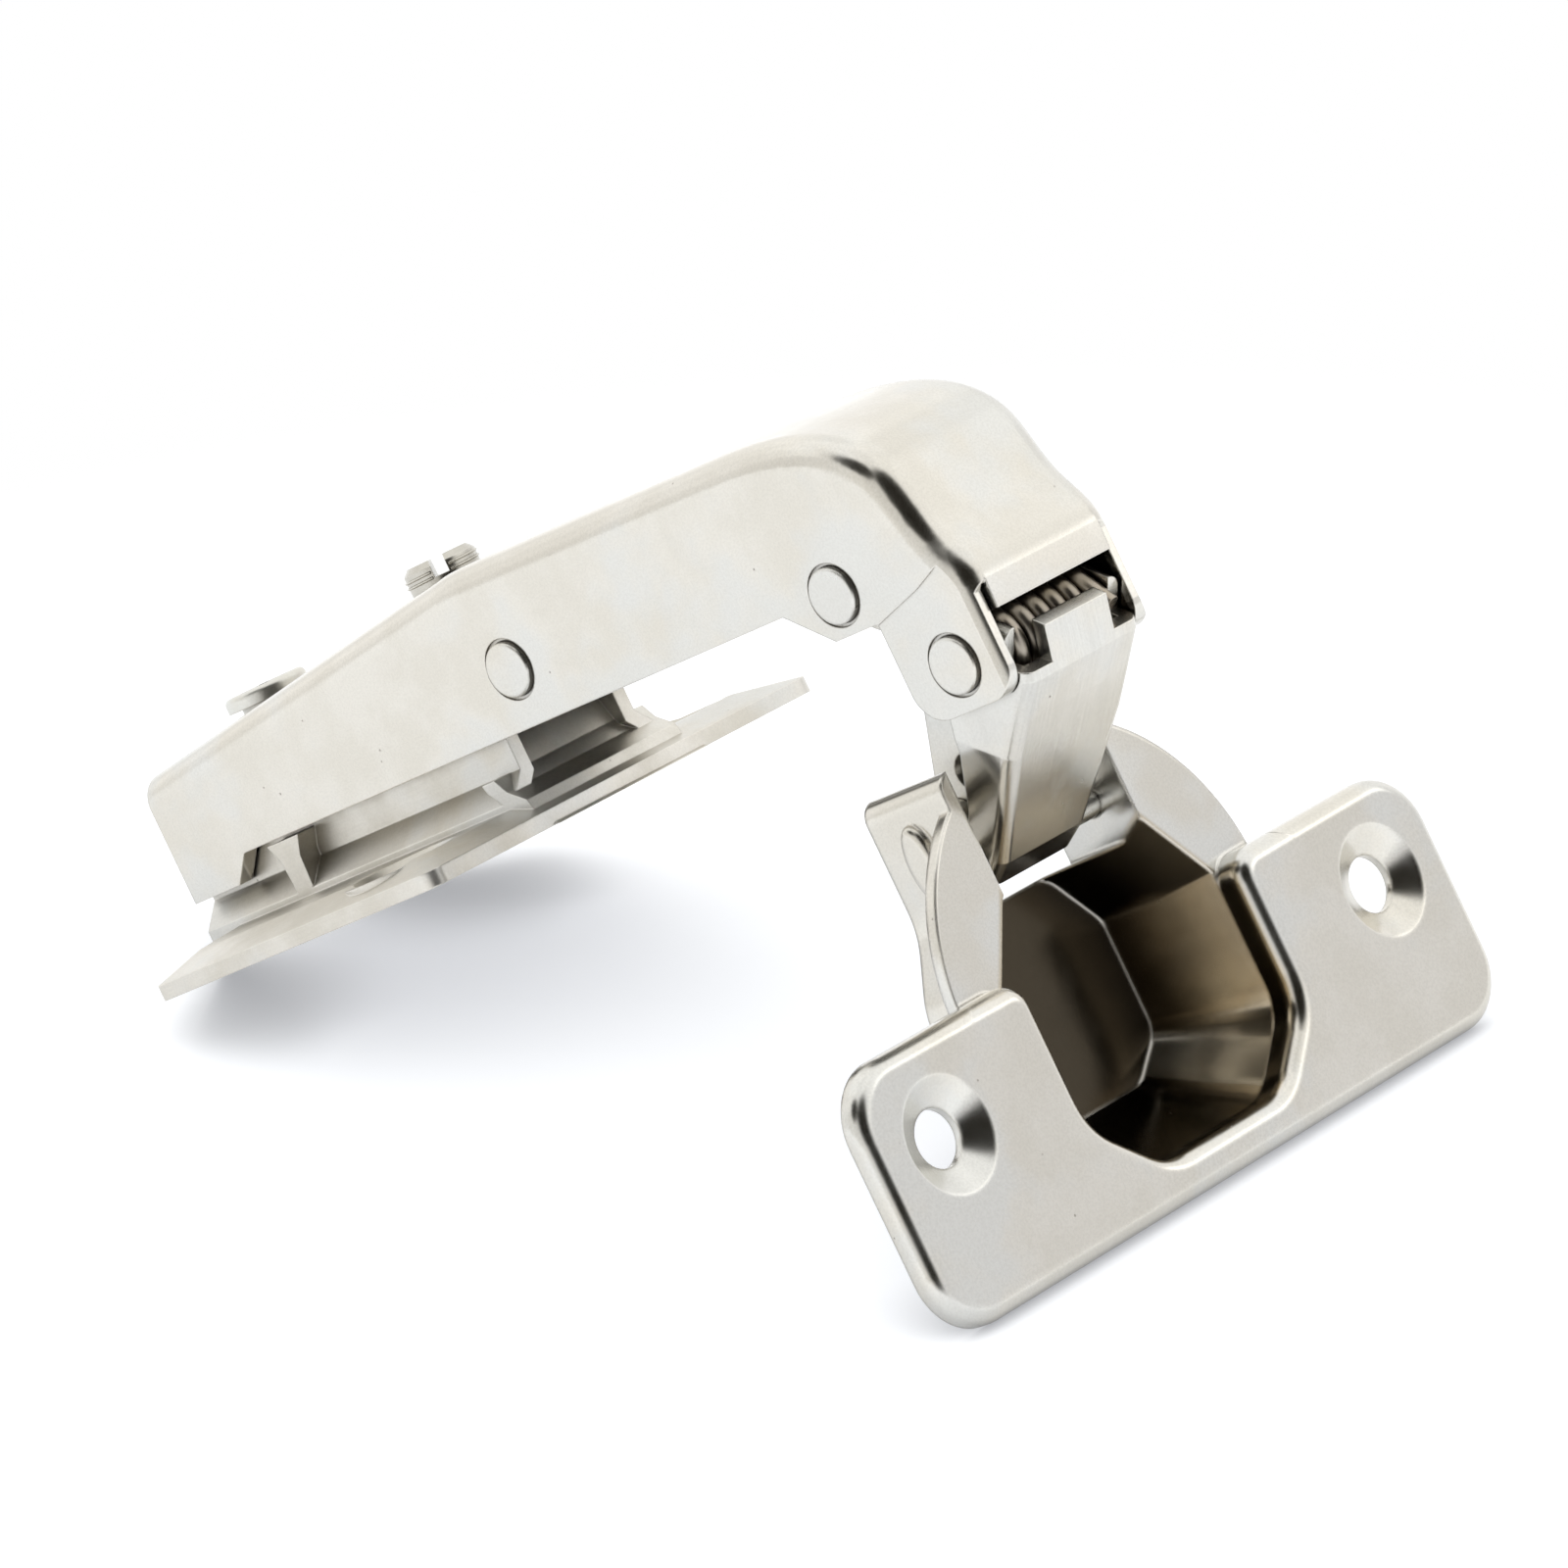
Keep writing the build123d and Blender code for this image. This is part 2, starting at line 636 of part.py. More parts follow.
def link_plate(index):
    """One stamped plate of the inner link; the outer ones carry the tines of the fork."""
    middle_x = (INNER_PIN[0] + LINK_RIVET[0]) / 2 + LINK_BOW
    middle_z = (INNER_PIN[1] + LINK_RIVET[1]) / 2
    face = Pos(*LINK_RIVET) * Circle(REAR_EYE / 2)
    for end, size in ((LINK_RIVET, 1.3 * LINK_BODY), (INNER_PIN, INNER_EYE)):
        dx = middle_x - end[0]
        dz = middle_z - end[1]
        face += taper_bar(end, size / 2, hypot(dx, dz), degrees(atan2(dz, dx)), LINK_BODY / 2)
    first = (PACK_COUNT - PACK_MIDDLE) // 2
    if first <= index < first + PACK_MIDDLE:
        face += lobe(HEEL_REACH, HEEL_SIZE)
    else:
        face += lobe(TINE_REACH, TINE_SIZE)
    face -= pin_sweep()
    bore = (LINK_RIVET[0] + REAR_BORE_SHIFT[0], LINK_RIVET[1] + REAR_BORE_SHIFT[1])
    face -= Pos(*bore) * Circle(RIVET_SHANK / 2 + REAR_BORE_PLAY)
    face -= Pos(*INNER_PIN) * Circle(STAPLE_WIRE / 2 + RUN_FIT)
    low = (index - PACK_COUNT / 2) * PACK_STEP + PACK_PLAY / 2
    return slab(face, low, low + PACK_SHEET)


# ---------------------------------------------------------------- spring


def torsion_spring():
    radius = NOSE_SHANK / 2 + SPRING_GAP + SPRING_WIRE / 2
    height = SPRING_TURNS * SPRING_PITCH
    start = 33.0
    coil = Helix(pitch=SPRING_PITCH, height=height, radius=radius)
    ring = Plane(origin=coil @ 0, z_dir=coil % 0) * Circle(SPRING_WIRE / 2)
    wire = sweep(ring, path=coil, is_frenet=True)
    tangent_down = Plane(origin=coil @ 0, z_dir=-(coil % 0)) * Circle(SPRING_WIRE / 2)
    tangent_up = Plane(origin=coil @ 1, z_dir=coil % 1) * Circle(SPRING_WIRE / 2)
    wire += extrude(tangent_down, SPRING_LINK_LEG)
    wire += extrude(tangent_up, SPRING_ARM_LEG)
    upright = Rot(90, 0, 0) * Rot(0, 0, start) * Pos(0, 0, -height / 2) * wire
    return Pos(NOSE_RIVET[0], 0, NOSE_RIVET[1]) * upright


# ---------------------------------------------------------------- damper


def along_damper(start, length, size):
    """A round bar on the damper's axis, from start towards the nose."""
    return (
        Pos(start, 0, DAMPER_PIVOT[1])
        * Rot(0, 90, 0)
        * Cylinder(size / 2, length, align=(Align.CENTER, Align.CENTER, Align.MIN))
    )


def damper_cylinder():
    tube = along_damper(DAMPER_START, DAMPER_LENGTH, DAMPER_SIZE)
    tube = fillet(tube.edges().group_by(Axis.X)[-1], 0.8)
    inner = DAMPER_SIZE - 2 * DAMPER_WALL
    tube -= along_damper(DAMPER_START - 1, DAMPER_LENGTH - DAMPER_WALL + 1, inner)
    mouth = ROD_SIZE + 4 * SLIDE_GAP
    return tube - along_damper(DAMPER_START, DAMPER_LENGTH + 1, mouth)


def damper_end_cap():
    inner = DAMPER_SIZE - 2 * DAMPER_WALL - 2 * PRESS_GAP
    head = along_damper(DAMPER_START - CAP_HEAD, CAP_HEAD, DAMPER_SIZE)
    head = fillet(head.edges().group_by(Axis.X)[0], 0.4)
    return head + along_damper(DAMPER_START, CAP_DEPTH, inner)


def damper_seal():
    inner = DAMPER_SIZE - 2 * DAMPER_WALL - 2 * PRESS_GAP
    start = DAMPER_START + DAMPER_LENGTH - DAMPER_WALL - SEAL_LENGTH
    seal = along_damper(start, SEAL_LENGTH, inner)
    return seal - along_damper(start - 1, SEAL_LENGTH + 2, ROD_SIZE + 2 * RUN_FIT)


def rod_end():
    return DAMPER_START + DAMPER_LENGTH + ROD_OUT


def piston_start():
    return DAMPER_START + CAP_DEPTH + ROD_STROKE_SPARE


def damper_rod():
    start = piston_start()
    rod = along_damper(start, rod_end() - start, ROD_SIZE)
    return fillet(rod.edges().group_by(Axis.X)[-1], 0.4)


def damper_piston():
    start = piston_start() + 0.8
    inner = DAMPER_SIZE - 2 * DAMPER_WALL - 2 * PISTON_GAP
    piston = along_damper(start, PISTON_LENGTH, inner)
    return piston - along_damper(start - 1, PISTON_LENGTH + 2, ROD_SIZE + 2 * PRESS_GAP)


def nylon_pad(side):
    """Saddle between the damper cylinder and one wall of the arm."""
    low = DAMPER_SIZE / 2 - PAD_SADDLE
    high = ARM_INSIDE - PRESS_GAP
    pad = bar(DAMPER_PIVOT, PAD_SIZE, low, high)
    pad = chamfer(pad.edges().group_by(Axis.Y)[-1], 0.4)
    pad -= along_damper(DAMPER_START - 5, DAMPER_LENGTH, DAMPER_SIZE + 2 * PRESS_GAP)
    pad -= bar(DAMPER_PIVOT, RIVET_SHANK + 2 * PRESS_GAP, STUB_END - FACE_GAP, ARM_HALF)
    if side < 0:
        pad = mirror(pad, Plane.XZ)
    return pad


# ---------------------------------------------------------------- cup


CUP_PLANE = Plane(
    origin=(FLANGE_FRONT, 0, CUP_SCREW_LINE), x_dir=(0, -1, 0), z_dir=(-1, 0, 0)
)


def cup_slab(face, start, end):
    """A shape drawn in the cup's front view, made deep from start to end."""
    return extrude(CUP_PLANE.offset(start) * face, end - start)


def pocket_face(grow):
    half = POCKET_WIDTH / 2 + grow
    throat = THROAT_WIDTH / 2 + grow
    points = [
        (half * 0.55, -POCKET_LOW - grow),
        (half, -POCKET_LOW + 5.1 - grow * 0.4),
        (half, 6.6 + grow * 0.3),
        (throat, 13.0 + grow * 0.4),
    ]
    face = outline(mirrored(points))
    rows = face.vertices().group_by(Axis.Y)
    face = fillet(rows[0] + rows[1], POCKET_CORNER + grow)
    return fillet(face.vertices().group_by(Axis.Y)[-1] + rows[2], 1.6)


def floor_face(grow):
    half = FLOOR_WIDTH / 2 + grow
    points = [
        (half * 0.57, -FLOOR_LOW - grow),
        (half, -FLOOR_LOW + 3.0 - grow * 0.4),
        (half, FLOOR_HIGH - 5.0 + grow * 0.4),
        (half - 3.6, FLOOR_HIGH + grow * 0.4),
    ]
    return outline(mirrored(points), 2.4)


def flange():
    height = FLANGE_LOW + FLANGE_HIGH
    middle = (FLANGE_HIGH - FLANGE_LOW) / 2
    plate = Pos(0, middle) * RectangleRounded(FLANGE_WIDTH, height, FLANGE_CORNER)
    solid = cup_slab(plate, 0, FLANGE_DEPTH)
    front = solid.edges().group_by(Axis.X)[-1]
    solid = fillet(front, FLANGE_ROUND)
    inner = Pos(0, middle) * RectangleRounded(
        FLANGE_WIDTH - 2 * CUP_SHEET, height - 2 * CUP_SHEET, FLANGE_CORNER - CUP_SHEET
    )
    hollow = cup_slab(inner, CUP_SHEET, FLANGE_DEPTH + 1)
    hollow -= cup_slab(Pos(0, -1) * Rectangle(POCKET_WIDTH + 6, 2 * POCKET_LOW + 6), 0, 9)
    for side in (-1, 1):
        boss = Pos(side * CUP_SCREW_SPACING / 2, 0) * Circle(CUP_SCREW_SINK / 2 + 0.8)
        hollow -= cup_slab(boss, 0, 9)
    return solid - hollow


def mouth_cutter():
    """Shape of the opening in the flange, with a rolled edge round it."""
    half = POCKET_WIDTH / 2
    points = [
        (half * 0.55, -POCKET_LOW),
        (half, -POCKET_LOW + 5.1),
        (half, FLANGE_HIGH),
        (half + 5.5, FLANGE_HIGH),
        (half + 5.5, FLANGE_HIGH + 8.0),
    ]
    face = outline(mirrored(points))
    rows = face.vertices().group_by(Axis.Y)
    face = fillet(rows[0] + rows[1], POCKET_CORNER)
    inner = face.vertices().group_by(Axis.Y)[-2].sort_by(lambda v: abs(v.X))[:2]
    face = fillet(inner, 2.2)
    cutter = cup_slab(face, -0.5, SHOULDER_DEPTH) + cup_slab(Rectangle(100, 100), -3, 0)
    edge = [
        e
        for e in cutter.edges()
        if abs(e.center().X - FLANGE_FRONT) < 1e-3
        and abs(e.center().Y) + abs(e.center().Z - CUP_SCREW_LINE) < 45
    ]
    return fillet(edge, MOUTH_ROUND)


def throat_face(grow):
    """Front view of the walls beside the pivots, which widen towards the pocket."""
    half = THROAT_WIDTH / 2 + grow
    points = [(half + 3.2, 2.0), (half + 2.9, 7.0), (half, 12.5), (half, THROAT_TOP)]
    face = outline(mirrored(points))
    rows = face.vertices().group_by(Axis.Y)
    face = fillet(rows[1] + rows[2], 7.0)
    return fillet(face.vertices().group_by(Axis.Y)[-1], 1.6)


def eye():
    """Pressed bulge over the ends of the two pivots."""
    wall = THROAT_WIDTH / 2 + THROAT_WALL
    middle_x = (OUTER_PIN[0] + INNER_PIN[0]) / 2
    middle_z = (OUTER_PIN[1] + INNER_PIN[1]) / 2
    face = Pos(middle_x, middle_z) * Ellipse(EYE_WIDTH / 2, EYE_LENGTH / 2)
    bulge = slab(face, -wall - EYE_RISE, -wall + 0.5)
    return fillet(bulge.edges().group_by(Axis.Y)[0], 0.8 * EYE_RISE)


def cup():
    deep = POCKET_DEPTH + CUP_SHEET
    below = Pos(0, FLANGE_HIGH) * Rectangle(90, 90, align=(Align.CENTER, Align.MAX))
    solid = flange()
    rim = Pos(0, CUP_OFFSET) * Circle(CUP_SIZE / 2)
    rim &= Pos(0, FLANGE_HIGH - 1.2) * Rectangle(80, 60, align=(Align.CENTER, Align.MIN))
    solid += cup_slab(rim, SHOULDER_DEPTH, SHOULDER_DEPTH + CUP_SHEET)
    step = Pos(0, FLANGE_HIGH - 1.2) * Rectangle(
        CUP_SIZE - 0.6, 1.2, align=(Align.CENTER, Align.MIN)
    )
    solid += cup_slab(step, FLANGE_ROUND + 0.1, SHOULDER_DEPTH + CUP_SHEET)
    solid += cup_slab(pocket_face(CUP_SHEET) & below, FLANGE_ROUND, SHOULDER_DEPTH + 0.2)
    mouth = CUP_PLANE.offset(SHOULDER_DEPTH) * pocket_face(CUP_SHEET)
    solid += loft([mouth, CUP_PLANE.offset(deep) * floor_face(CUP_SHEET)])
    solid += cup_slab(throat_face(THROAT_WALL), SHOULDER_DEPTH, THROAT_DEPTH)
    solid += eye()
    mouth = CUP_PLANE.offset(SHOULDER_DEPTH) * pocket_face(0)
    pocket = loft([mouth, CUP_PLANE.offset(POCKET_DEPTH) * floor_face(0)])
    solid -= mouth_cutter() + pocket
    gate = Pos(0, FLOOR_HIGH) * Rectangle(THROAT_WIDTH, 30, align=(Align.CENTER, Align.MIN))
    solid -= cup_slab(gate, -1, 30)
    for side in (-1, 1):
        place = CUP_PLANE * Pos(side * CUP_SCREW_SPACING / 2, 0, 0)
        solid -= place * Cylinder(CUP_SCREW_HOLE / 2, 20)
        solid -= place * Cone(
            CUP_SCREW_SINK / 2,
            CUP_SCREW_HOLE / 2,
            CUP_SINK_DEPTH,
            align=(Align.CENTER, Align.CENTER, Align.MIN),
        )
    for point in (OUTER_PIN, INNER_PIN):
        solid -= bar(point, STAPLE_WIRE + 2 * PRESS_GAP, -PIN_END - PRESS_GAP, 20)
    return solid


def cup_pin():
    """A wire staple whose two legs are the cup's pivots."""
    bend = THROAT_WIDTH / 2 + THROAT_WALL + PRESS_GAP
    dx = INNER_PIN[0] - OUTER_PIN[0]
    dz = INNER_PIN[1] - OUTER_PIN[1]
    gap = hypot(dx, dz)
    apex = (OUTER_PIN[0] + dx / 2, bend + gap / 2, OUTER_PIN[1] + dz / 2)
    arc = ThreePointArc(
        (OUTER_PIN[0], bend, OUTER_PIN[1]), apex, (INNER_PIN[0], bend, INNER_PIN[1])
    )
    ring = Plane(origin=arc @ 0, z_dir=arc % 0) * Circle(STAPLE_WIRE / 2)
    staple = sweep(ring, path=arc)
    for point in (OUTER_PIN, INNER_PIN):
        staple += bar(point, STAPLE_WIRE, -PIN_END, bend)
    return staple


# ---------------------------------------------------------------- screws


def drive_slot(size, top):
    return Pos(0, 0, top) * Rot(0, 0, -45) * Box(2 * size, DRIVE_SLOT, 2 * DRIVE_DEPTH)


def side_adjust_screw():
    top = web_top(ADJUST_X) + ADJUST_RISE
    low = CHANNEL_TOP + SEAT_GAP
    body = Pos(0, 0, low) * Cylinder(
        ADJUST_SIZE / 2, top - low, align=(Align.CENTER, Align.CENTER, Align.MIN)
    )
    body = chamfer(body.edges().group_by(Axis.Z)[-1], 0.5)
    under = CHANNEL_TOP - PLATE_SHEET - SEAT_GAP
    neck = Pos(0, 0, under) * Cylinder(
        ADJUST_NECK / 2, low - under, align=(Align.CENTER, Align.CENTER, Align.MIN)
    )
    foot = Pos(0, 0, under) * Cylinder(
        ADJUST_FOOT / 2, ADJUST_FOOT_HEIGHT, align=(Align.CENTER, Align.CENTER, Align.MAX)
    )
    screw = body + neck + foot - drive_slot(ADJUST_SIZE, top)
    return Pos(ADJUST_X, 0, 0) * screw


def fixing_screw():
    seat = web_top(FIXING_X + FIXING_HEAD / 2 + SLIDE_TRAVEL) + FACE_GAP
    low = CHANNEL_TOP - PLATE_SHEET - 2.4
    shank = Pos(0, 0, low) * Cylinder(
        FIXING_SHANK / 2, seat - low, align=(Align.CENTER, Align.CENTER, Align.MIN)
    )
    head = Pos(0, 0, seat) * Cylinder(
        FIXING_HEAD / 2, FIXING_HEAD_HEIGHT, align=(Align.CENTER, Align.CENTER, Align.MIN)
    )
    head = fillet(head.edges().group_by(Axis.Z)[-1], 0.5)
    recess = Rot(0, 0, 45) * (Box(4.2, 1.0, 1.6) + Box(1.0, 4.2, 1.6))
    screw = shank + head - Pos(0, 0, seat + FIXING_HEAD_HEIGHT) * recess
    return Pos(FIXING_X, 0, 0) * screw


# ---------------------------------------------------------------- output


def pieces():
    """Every node by name."""
    parts = {
        "mounting_plate": mounting_plate(),
        "fixing_screw": fixing_screw(),
        "arm": arm(),
        "link_rivet": rivet(LINK_RIVET, RIVET_SHANK),
        "nose_rivet": rivet(NOSE_RIVET, NOSE_SHANK),
        "damper_rivet_left": damper_stub(1),
        "damper_rivet_right": damper_stub(-1),
        "side_adjust_screw": side_adjust_screw(),
        "outer_link": outer_link(),
        "torsion_spring": torsion_spring(),
        "cup": cup(),
        "cup_pin": cup_pin(),
        "damper_cylinder": damper_cylinder(),
        "damper_end_cap": damper_end_cap(),
        "damper_seal": damper_seal(),
        "damper_rod": damper_rod(),
        "damper_piston": damper_piston(),
        "nylon_pad_left": nylon_pad(1),
        "nylon_pad_right": nylon_pad(-1),
    }
    for index in range(PACK_COUNT):
        parts[f"inner_link_plate_{index + 1}"] = link_plate(index)
    return parts


def main():
    os.makedirs("parts", exist_ok=True)
    for name, shape in pieces().items():
        export_step(shape, f"parts/{name}.step")


main()
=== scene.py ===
"""Finishes, fine turned pieces and studio of a soft-close concealed cup hinge.

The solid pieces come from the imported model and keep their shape. This file gives each of them its
finish, adds the pieces that are finer than the solids, and sets the hinge on a pale sheet.
Lengths are metres.
"""

import json
import logging
import math
from dataclasses import dataclass, field
from enum import Enum

import bmesh
import bpy
from mathutils import Matrix, Vector

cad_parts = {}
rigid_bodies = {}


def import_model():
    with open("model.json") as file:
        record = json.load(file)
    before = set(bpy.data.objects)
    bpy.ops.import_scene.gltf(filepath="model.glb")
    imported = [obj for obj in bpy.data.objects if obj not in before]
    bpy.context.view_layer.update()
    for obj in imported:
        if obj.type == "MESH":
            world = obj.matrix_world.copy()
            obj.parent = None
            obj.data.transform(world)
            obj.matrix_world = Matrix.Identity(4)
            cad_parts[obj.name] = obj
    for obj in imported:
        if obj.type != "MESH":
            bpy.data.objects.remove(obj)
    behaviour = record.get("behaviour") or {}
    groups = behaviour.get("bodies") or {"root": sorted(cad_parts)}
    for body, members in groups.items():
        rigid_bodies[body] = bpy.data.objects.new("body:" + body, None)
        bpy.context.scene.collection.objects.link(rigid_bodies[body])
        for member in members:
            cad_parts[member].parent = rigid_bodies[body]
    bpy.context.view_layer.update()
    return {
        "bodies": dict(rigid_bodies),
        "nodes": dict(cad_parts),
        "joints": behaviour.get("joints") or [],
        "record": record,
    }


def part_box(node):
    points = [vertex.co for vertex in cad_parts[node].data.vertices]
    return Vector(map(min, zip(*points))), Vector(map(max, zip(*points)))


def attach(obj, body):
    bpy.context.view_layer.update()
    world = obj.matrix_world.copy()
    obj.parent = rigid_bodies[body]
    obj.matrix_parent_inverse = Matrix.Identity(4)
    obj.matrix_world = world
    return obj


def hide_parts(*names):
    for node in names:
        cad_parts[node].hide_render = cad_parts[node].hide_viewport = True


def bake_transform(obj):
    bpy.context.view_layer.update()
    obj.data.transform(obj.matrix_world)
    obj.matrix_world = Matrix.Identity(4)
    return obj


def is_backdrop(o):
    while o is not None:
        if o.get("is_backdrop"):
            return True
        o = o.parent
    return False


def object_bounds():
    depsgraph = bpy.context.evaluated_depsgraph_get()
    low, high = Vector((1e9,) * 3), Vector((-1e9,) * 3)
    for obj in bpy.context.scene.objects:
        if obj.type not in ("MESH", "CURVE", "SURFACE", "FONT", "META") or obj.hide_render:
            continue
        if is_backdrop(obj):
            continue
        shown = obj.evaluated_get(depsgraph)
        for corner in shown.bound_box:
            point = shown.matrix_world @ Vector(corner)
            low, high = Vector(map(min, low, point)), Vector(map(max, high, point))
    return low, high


LOG = logging.getLogger("cup_hinge")
MM = 0.001
TURN = 360.0  # degrees
Socket = bpy.types.NodeSocket
Band = tuple[float, float]
Colour = tuple[float, float, float]
Point = tuple[float, float, float]


# ------------------------------------------------------------------ shader building


@dataclass(frozen=True)
class Noise:
    """A noise texture, by its scale per metre, octaves and roughness."""

    scale: float
    detail: float = 2.0
    roughness: float = 0.5


class ShaderSheet:
    """Adds and joins nodes in one node tree."""

    MIX_COLOURS = (6, 7)  # places of the mix node's two colour inputs
    MIX_RESULT = 2  # place of its colour output

    def __init__(self, tree: bpy.types.NodeTree) -> None:
        """Starts from an empty tree."""
        tree.nodes.clear()
        self.tree = tree

    def feed(self, source: object, socket: Socket) -> None:
        """Joins a socket to another, or sets it to a plain value.

        Args:
            source: A socket, a number, a vector or a colour of four.
            socket: The socket that gets it.
        """
        if isinstance(source, Socket):
            self.tree.links.new(source, socket)
        else:
            socket.default_value = source

    def node(self, kind: str, **values: object) -> bpy.types.Node:
        """Adds a node.

        Args:
            kind: The node's type name.
            values: Socket values by name, with spaces written as underscores, or node settings.

        Returns:
            The new node.
        """
        made = self.tree.nodes.new(kind)
        for key, value in values.items():
            socket = made.inputs.get(key.replace("_", " "))
            if hasattr(made, key) and socket is None:
                setattr(made, key, value)
            else:
                self.feed(value, socket)
        return made

    def noise(self, kind: Noise, place: Socket) -> Socket:
        """Adds a noise texture.

        Args:
            kind: The noise.
            place: The point's or direction's socket.

        Returns:
            The value's socket.
        """
        made = self.node("ShaderNodeTexNoise", Vector=place, Scale=kind.scale)
        self.feed(kind.detail, made.inputs["Detail"])
        self.feed(kind.roughness, made.inputs["Roughness"])
        return made.outputs[0]

    def sum_of(self, kind: str, *sources: object) -> Socket:
        """Adds a maths node.

        Args:
            kind: The operation, such as MULTIPLY.
            sources: Numbers or sockets, in order.

        Returns:
            The result's socket.
        """
        made = self.node("ShaderNodeMath", operation=kind)
        for slot, source in zip(made.inputs, sources):
            self.feed(source, slot)
        return made.outputs[0]

    def spread(self, source: Socket, low: float, high: float, out: Band = (0.0, 1.0)) -> Socket:
        """Stretches a value smoothly.

        Args:
            source: The value.
            low: Input that gives the first output.
            high: Input that gives the second output.
            out: The two outputs.

        Returns:
            The stretched value's socket.
        """
        made = self.node("ShaderNodeMapRange", interpolation_type="SMOOTHSTEP", Value=source)
        for name, value in zip(("From Min", "From Max", "To Min", "To Max"), (low, high, *out)):
            made.inputs[name].default_value = value
        return made.outputs["Result"]

    def along(self, way: Socket, axis: object) -> Socket:
        """Measures how far a direction or a point lies along an axis.

        Args:
            way: The direction's or point's socket.
            axis: The axis, as a vector or a socket.

        Returns:
            The measure's socket.
        """
        dot = self.node("ShaderNodeVectorMath", operation="DOT_PRODUCT")
        self.feed(way, dot.inputs[0])
        self.feed(axis, dot.inputs[1])
        return dot.outputs["Value"]

    def tint(self, share: object, first: object, second: object, way: str = "MIX") -> Socket:
        """Mixes two colours.

        Args:
            share: How much of the second, as a number or a socket.
            first: A colour or a socket.
            second: A colour or a socket.
            way: The blend type.

        Returns:
            The mixed colour's socket.
        """
        made = self.node("ShaderNodeMix", data_type="RGBA", blend_type=way)
        self.feed(share, made.inputs[0])
        for place, source in zip(self.MIX_COLOURS, (first, second)):
            colour = (*source, 1.0) if isinstance(source, tuple) else source
            self.feed(colour, made.inputs[place])
        return made.outputs[self.MIX_RESULT]

    def close(self, kind: str, shader: bpy.types.Node) -> None:
        """Adds the output node of a kind and feeds it the shader."""
        self.feed(shader.outputs[0], self.node(kind).inputs[0])


def blank_material(name: str) -> tuple[bpy.types.Material, ShaderSheet]:
    """Makes a material without nodes.

    Args:
        name: The material's name.

    Returns:
        The material and its sheet.
    """
    made = bpy.data.materials.new(name)
    made.use_nodes = True
    return made, ShaderSheet(made.node_tree)


# ------------------------------------------------------------------ finishes

CLOUD = Noise(120.0, 6.0, 0.62)
CLOUD_BAND = (0.38, 0.60)
CLOUD_TONES = (0.9, 1.0, 1.25)  # how strongly a cloud takes red, green and blue away
WORN_BAND = (0.25, 0.75)
WORN_RANGE = (1.25, 0.85)
HAZE = Noise(62.0, 4.0, 0.6)
HAZE_BAND = (0.48, 0.62)
HAZE_SHARE = 0.7
HAZE_TONES = (0.95, 0.99, 1.05)
HAZE_ROUGH = 0.08
GRAIN = Noise(5200.0, 3.0, 0.6)
GRAIN_BAND = (0.35, 0.62)
GRAIN_DEPTH = 0.06
GRAIN_COLOUR = (0.30, 0.28, 0.25)
PEEL = Noise(420.0)
PIN_SCALE = 760.0
PIN_RADII = (0.05, 0.11)
PIN_CHANCE = Noise(230.0, 1.0)
PIN_CHANCE_BAND = (0.60, 0.66)
PIN_COLOUR = (0.16, 0.14, 0.12)
PIN_ROUGH = 0.3
PIN_DEPTH = 0.08
STREAK = Noise(5200.0, 4.0, 0.7)
STREAK_MOST = 0.5
RUBBED_COLOUR = (0.42, 0.40, 0.37)
NOOK_BAND = (0.15, 0.75)
# painted shade: colour laid into the nooks and creases that ambient occlusion finds
NOOK_SHADE_COLOUR = (0.10, 0.085, 0.07)
# painted highlight: pale colour laid along the softened edges
RIM_BAND = (0.90, 0.995)
RIM_HIGHLIGHT_COLOUR = (0.90, 0.87, 0.81)
FINE_SAMPLES = 6
BUMP_STRENGTH = 0.55
BUMP_DISTANCE = 0.05 * MM
# uneven edge of the painted shade inside a recess
SHADE_WAVE = Noise(170.0, 3.0)
SHADE_WAVE_BAND = (0.2, 0.8)
SHADE_WAVE_REACH = 1.2 * MM
MOULD_TONE = Noise(160.0, 3.0)
MOULD_TONE_BAND = (0.3, 0.7)
MOULD_DULL = 0.86
MOULD_ROUGH_RANGE = (1.15, 0.9)
MOULD_GRAIN = Noise(3800.0)
MOULD_GRAIN_DISTANCE = 0.02 * MM
MOULD_EDGE = 0.12 * MM
MOULD_EDGE_SAMPLES = 4
MOULD_SCATTER = 1.2 * MM


class Lay(Enum):
    """Direction of the fine lines in a surface."""

    NONE = (1.0, 1.0, 1.0)
    ALONG_X = (0.03, 1.0, 1.0)
    ALONG_Y = (1.0, 0.02, 1.0)
    ALONG_Z = (0.04, 1.0, 0.015)


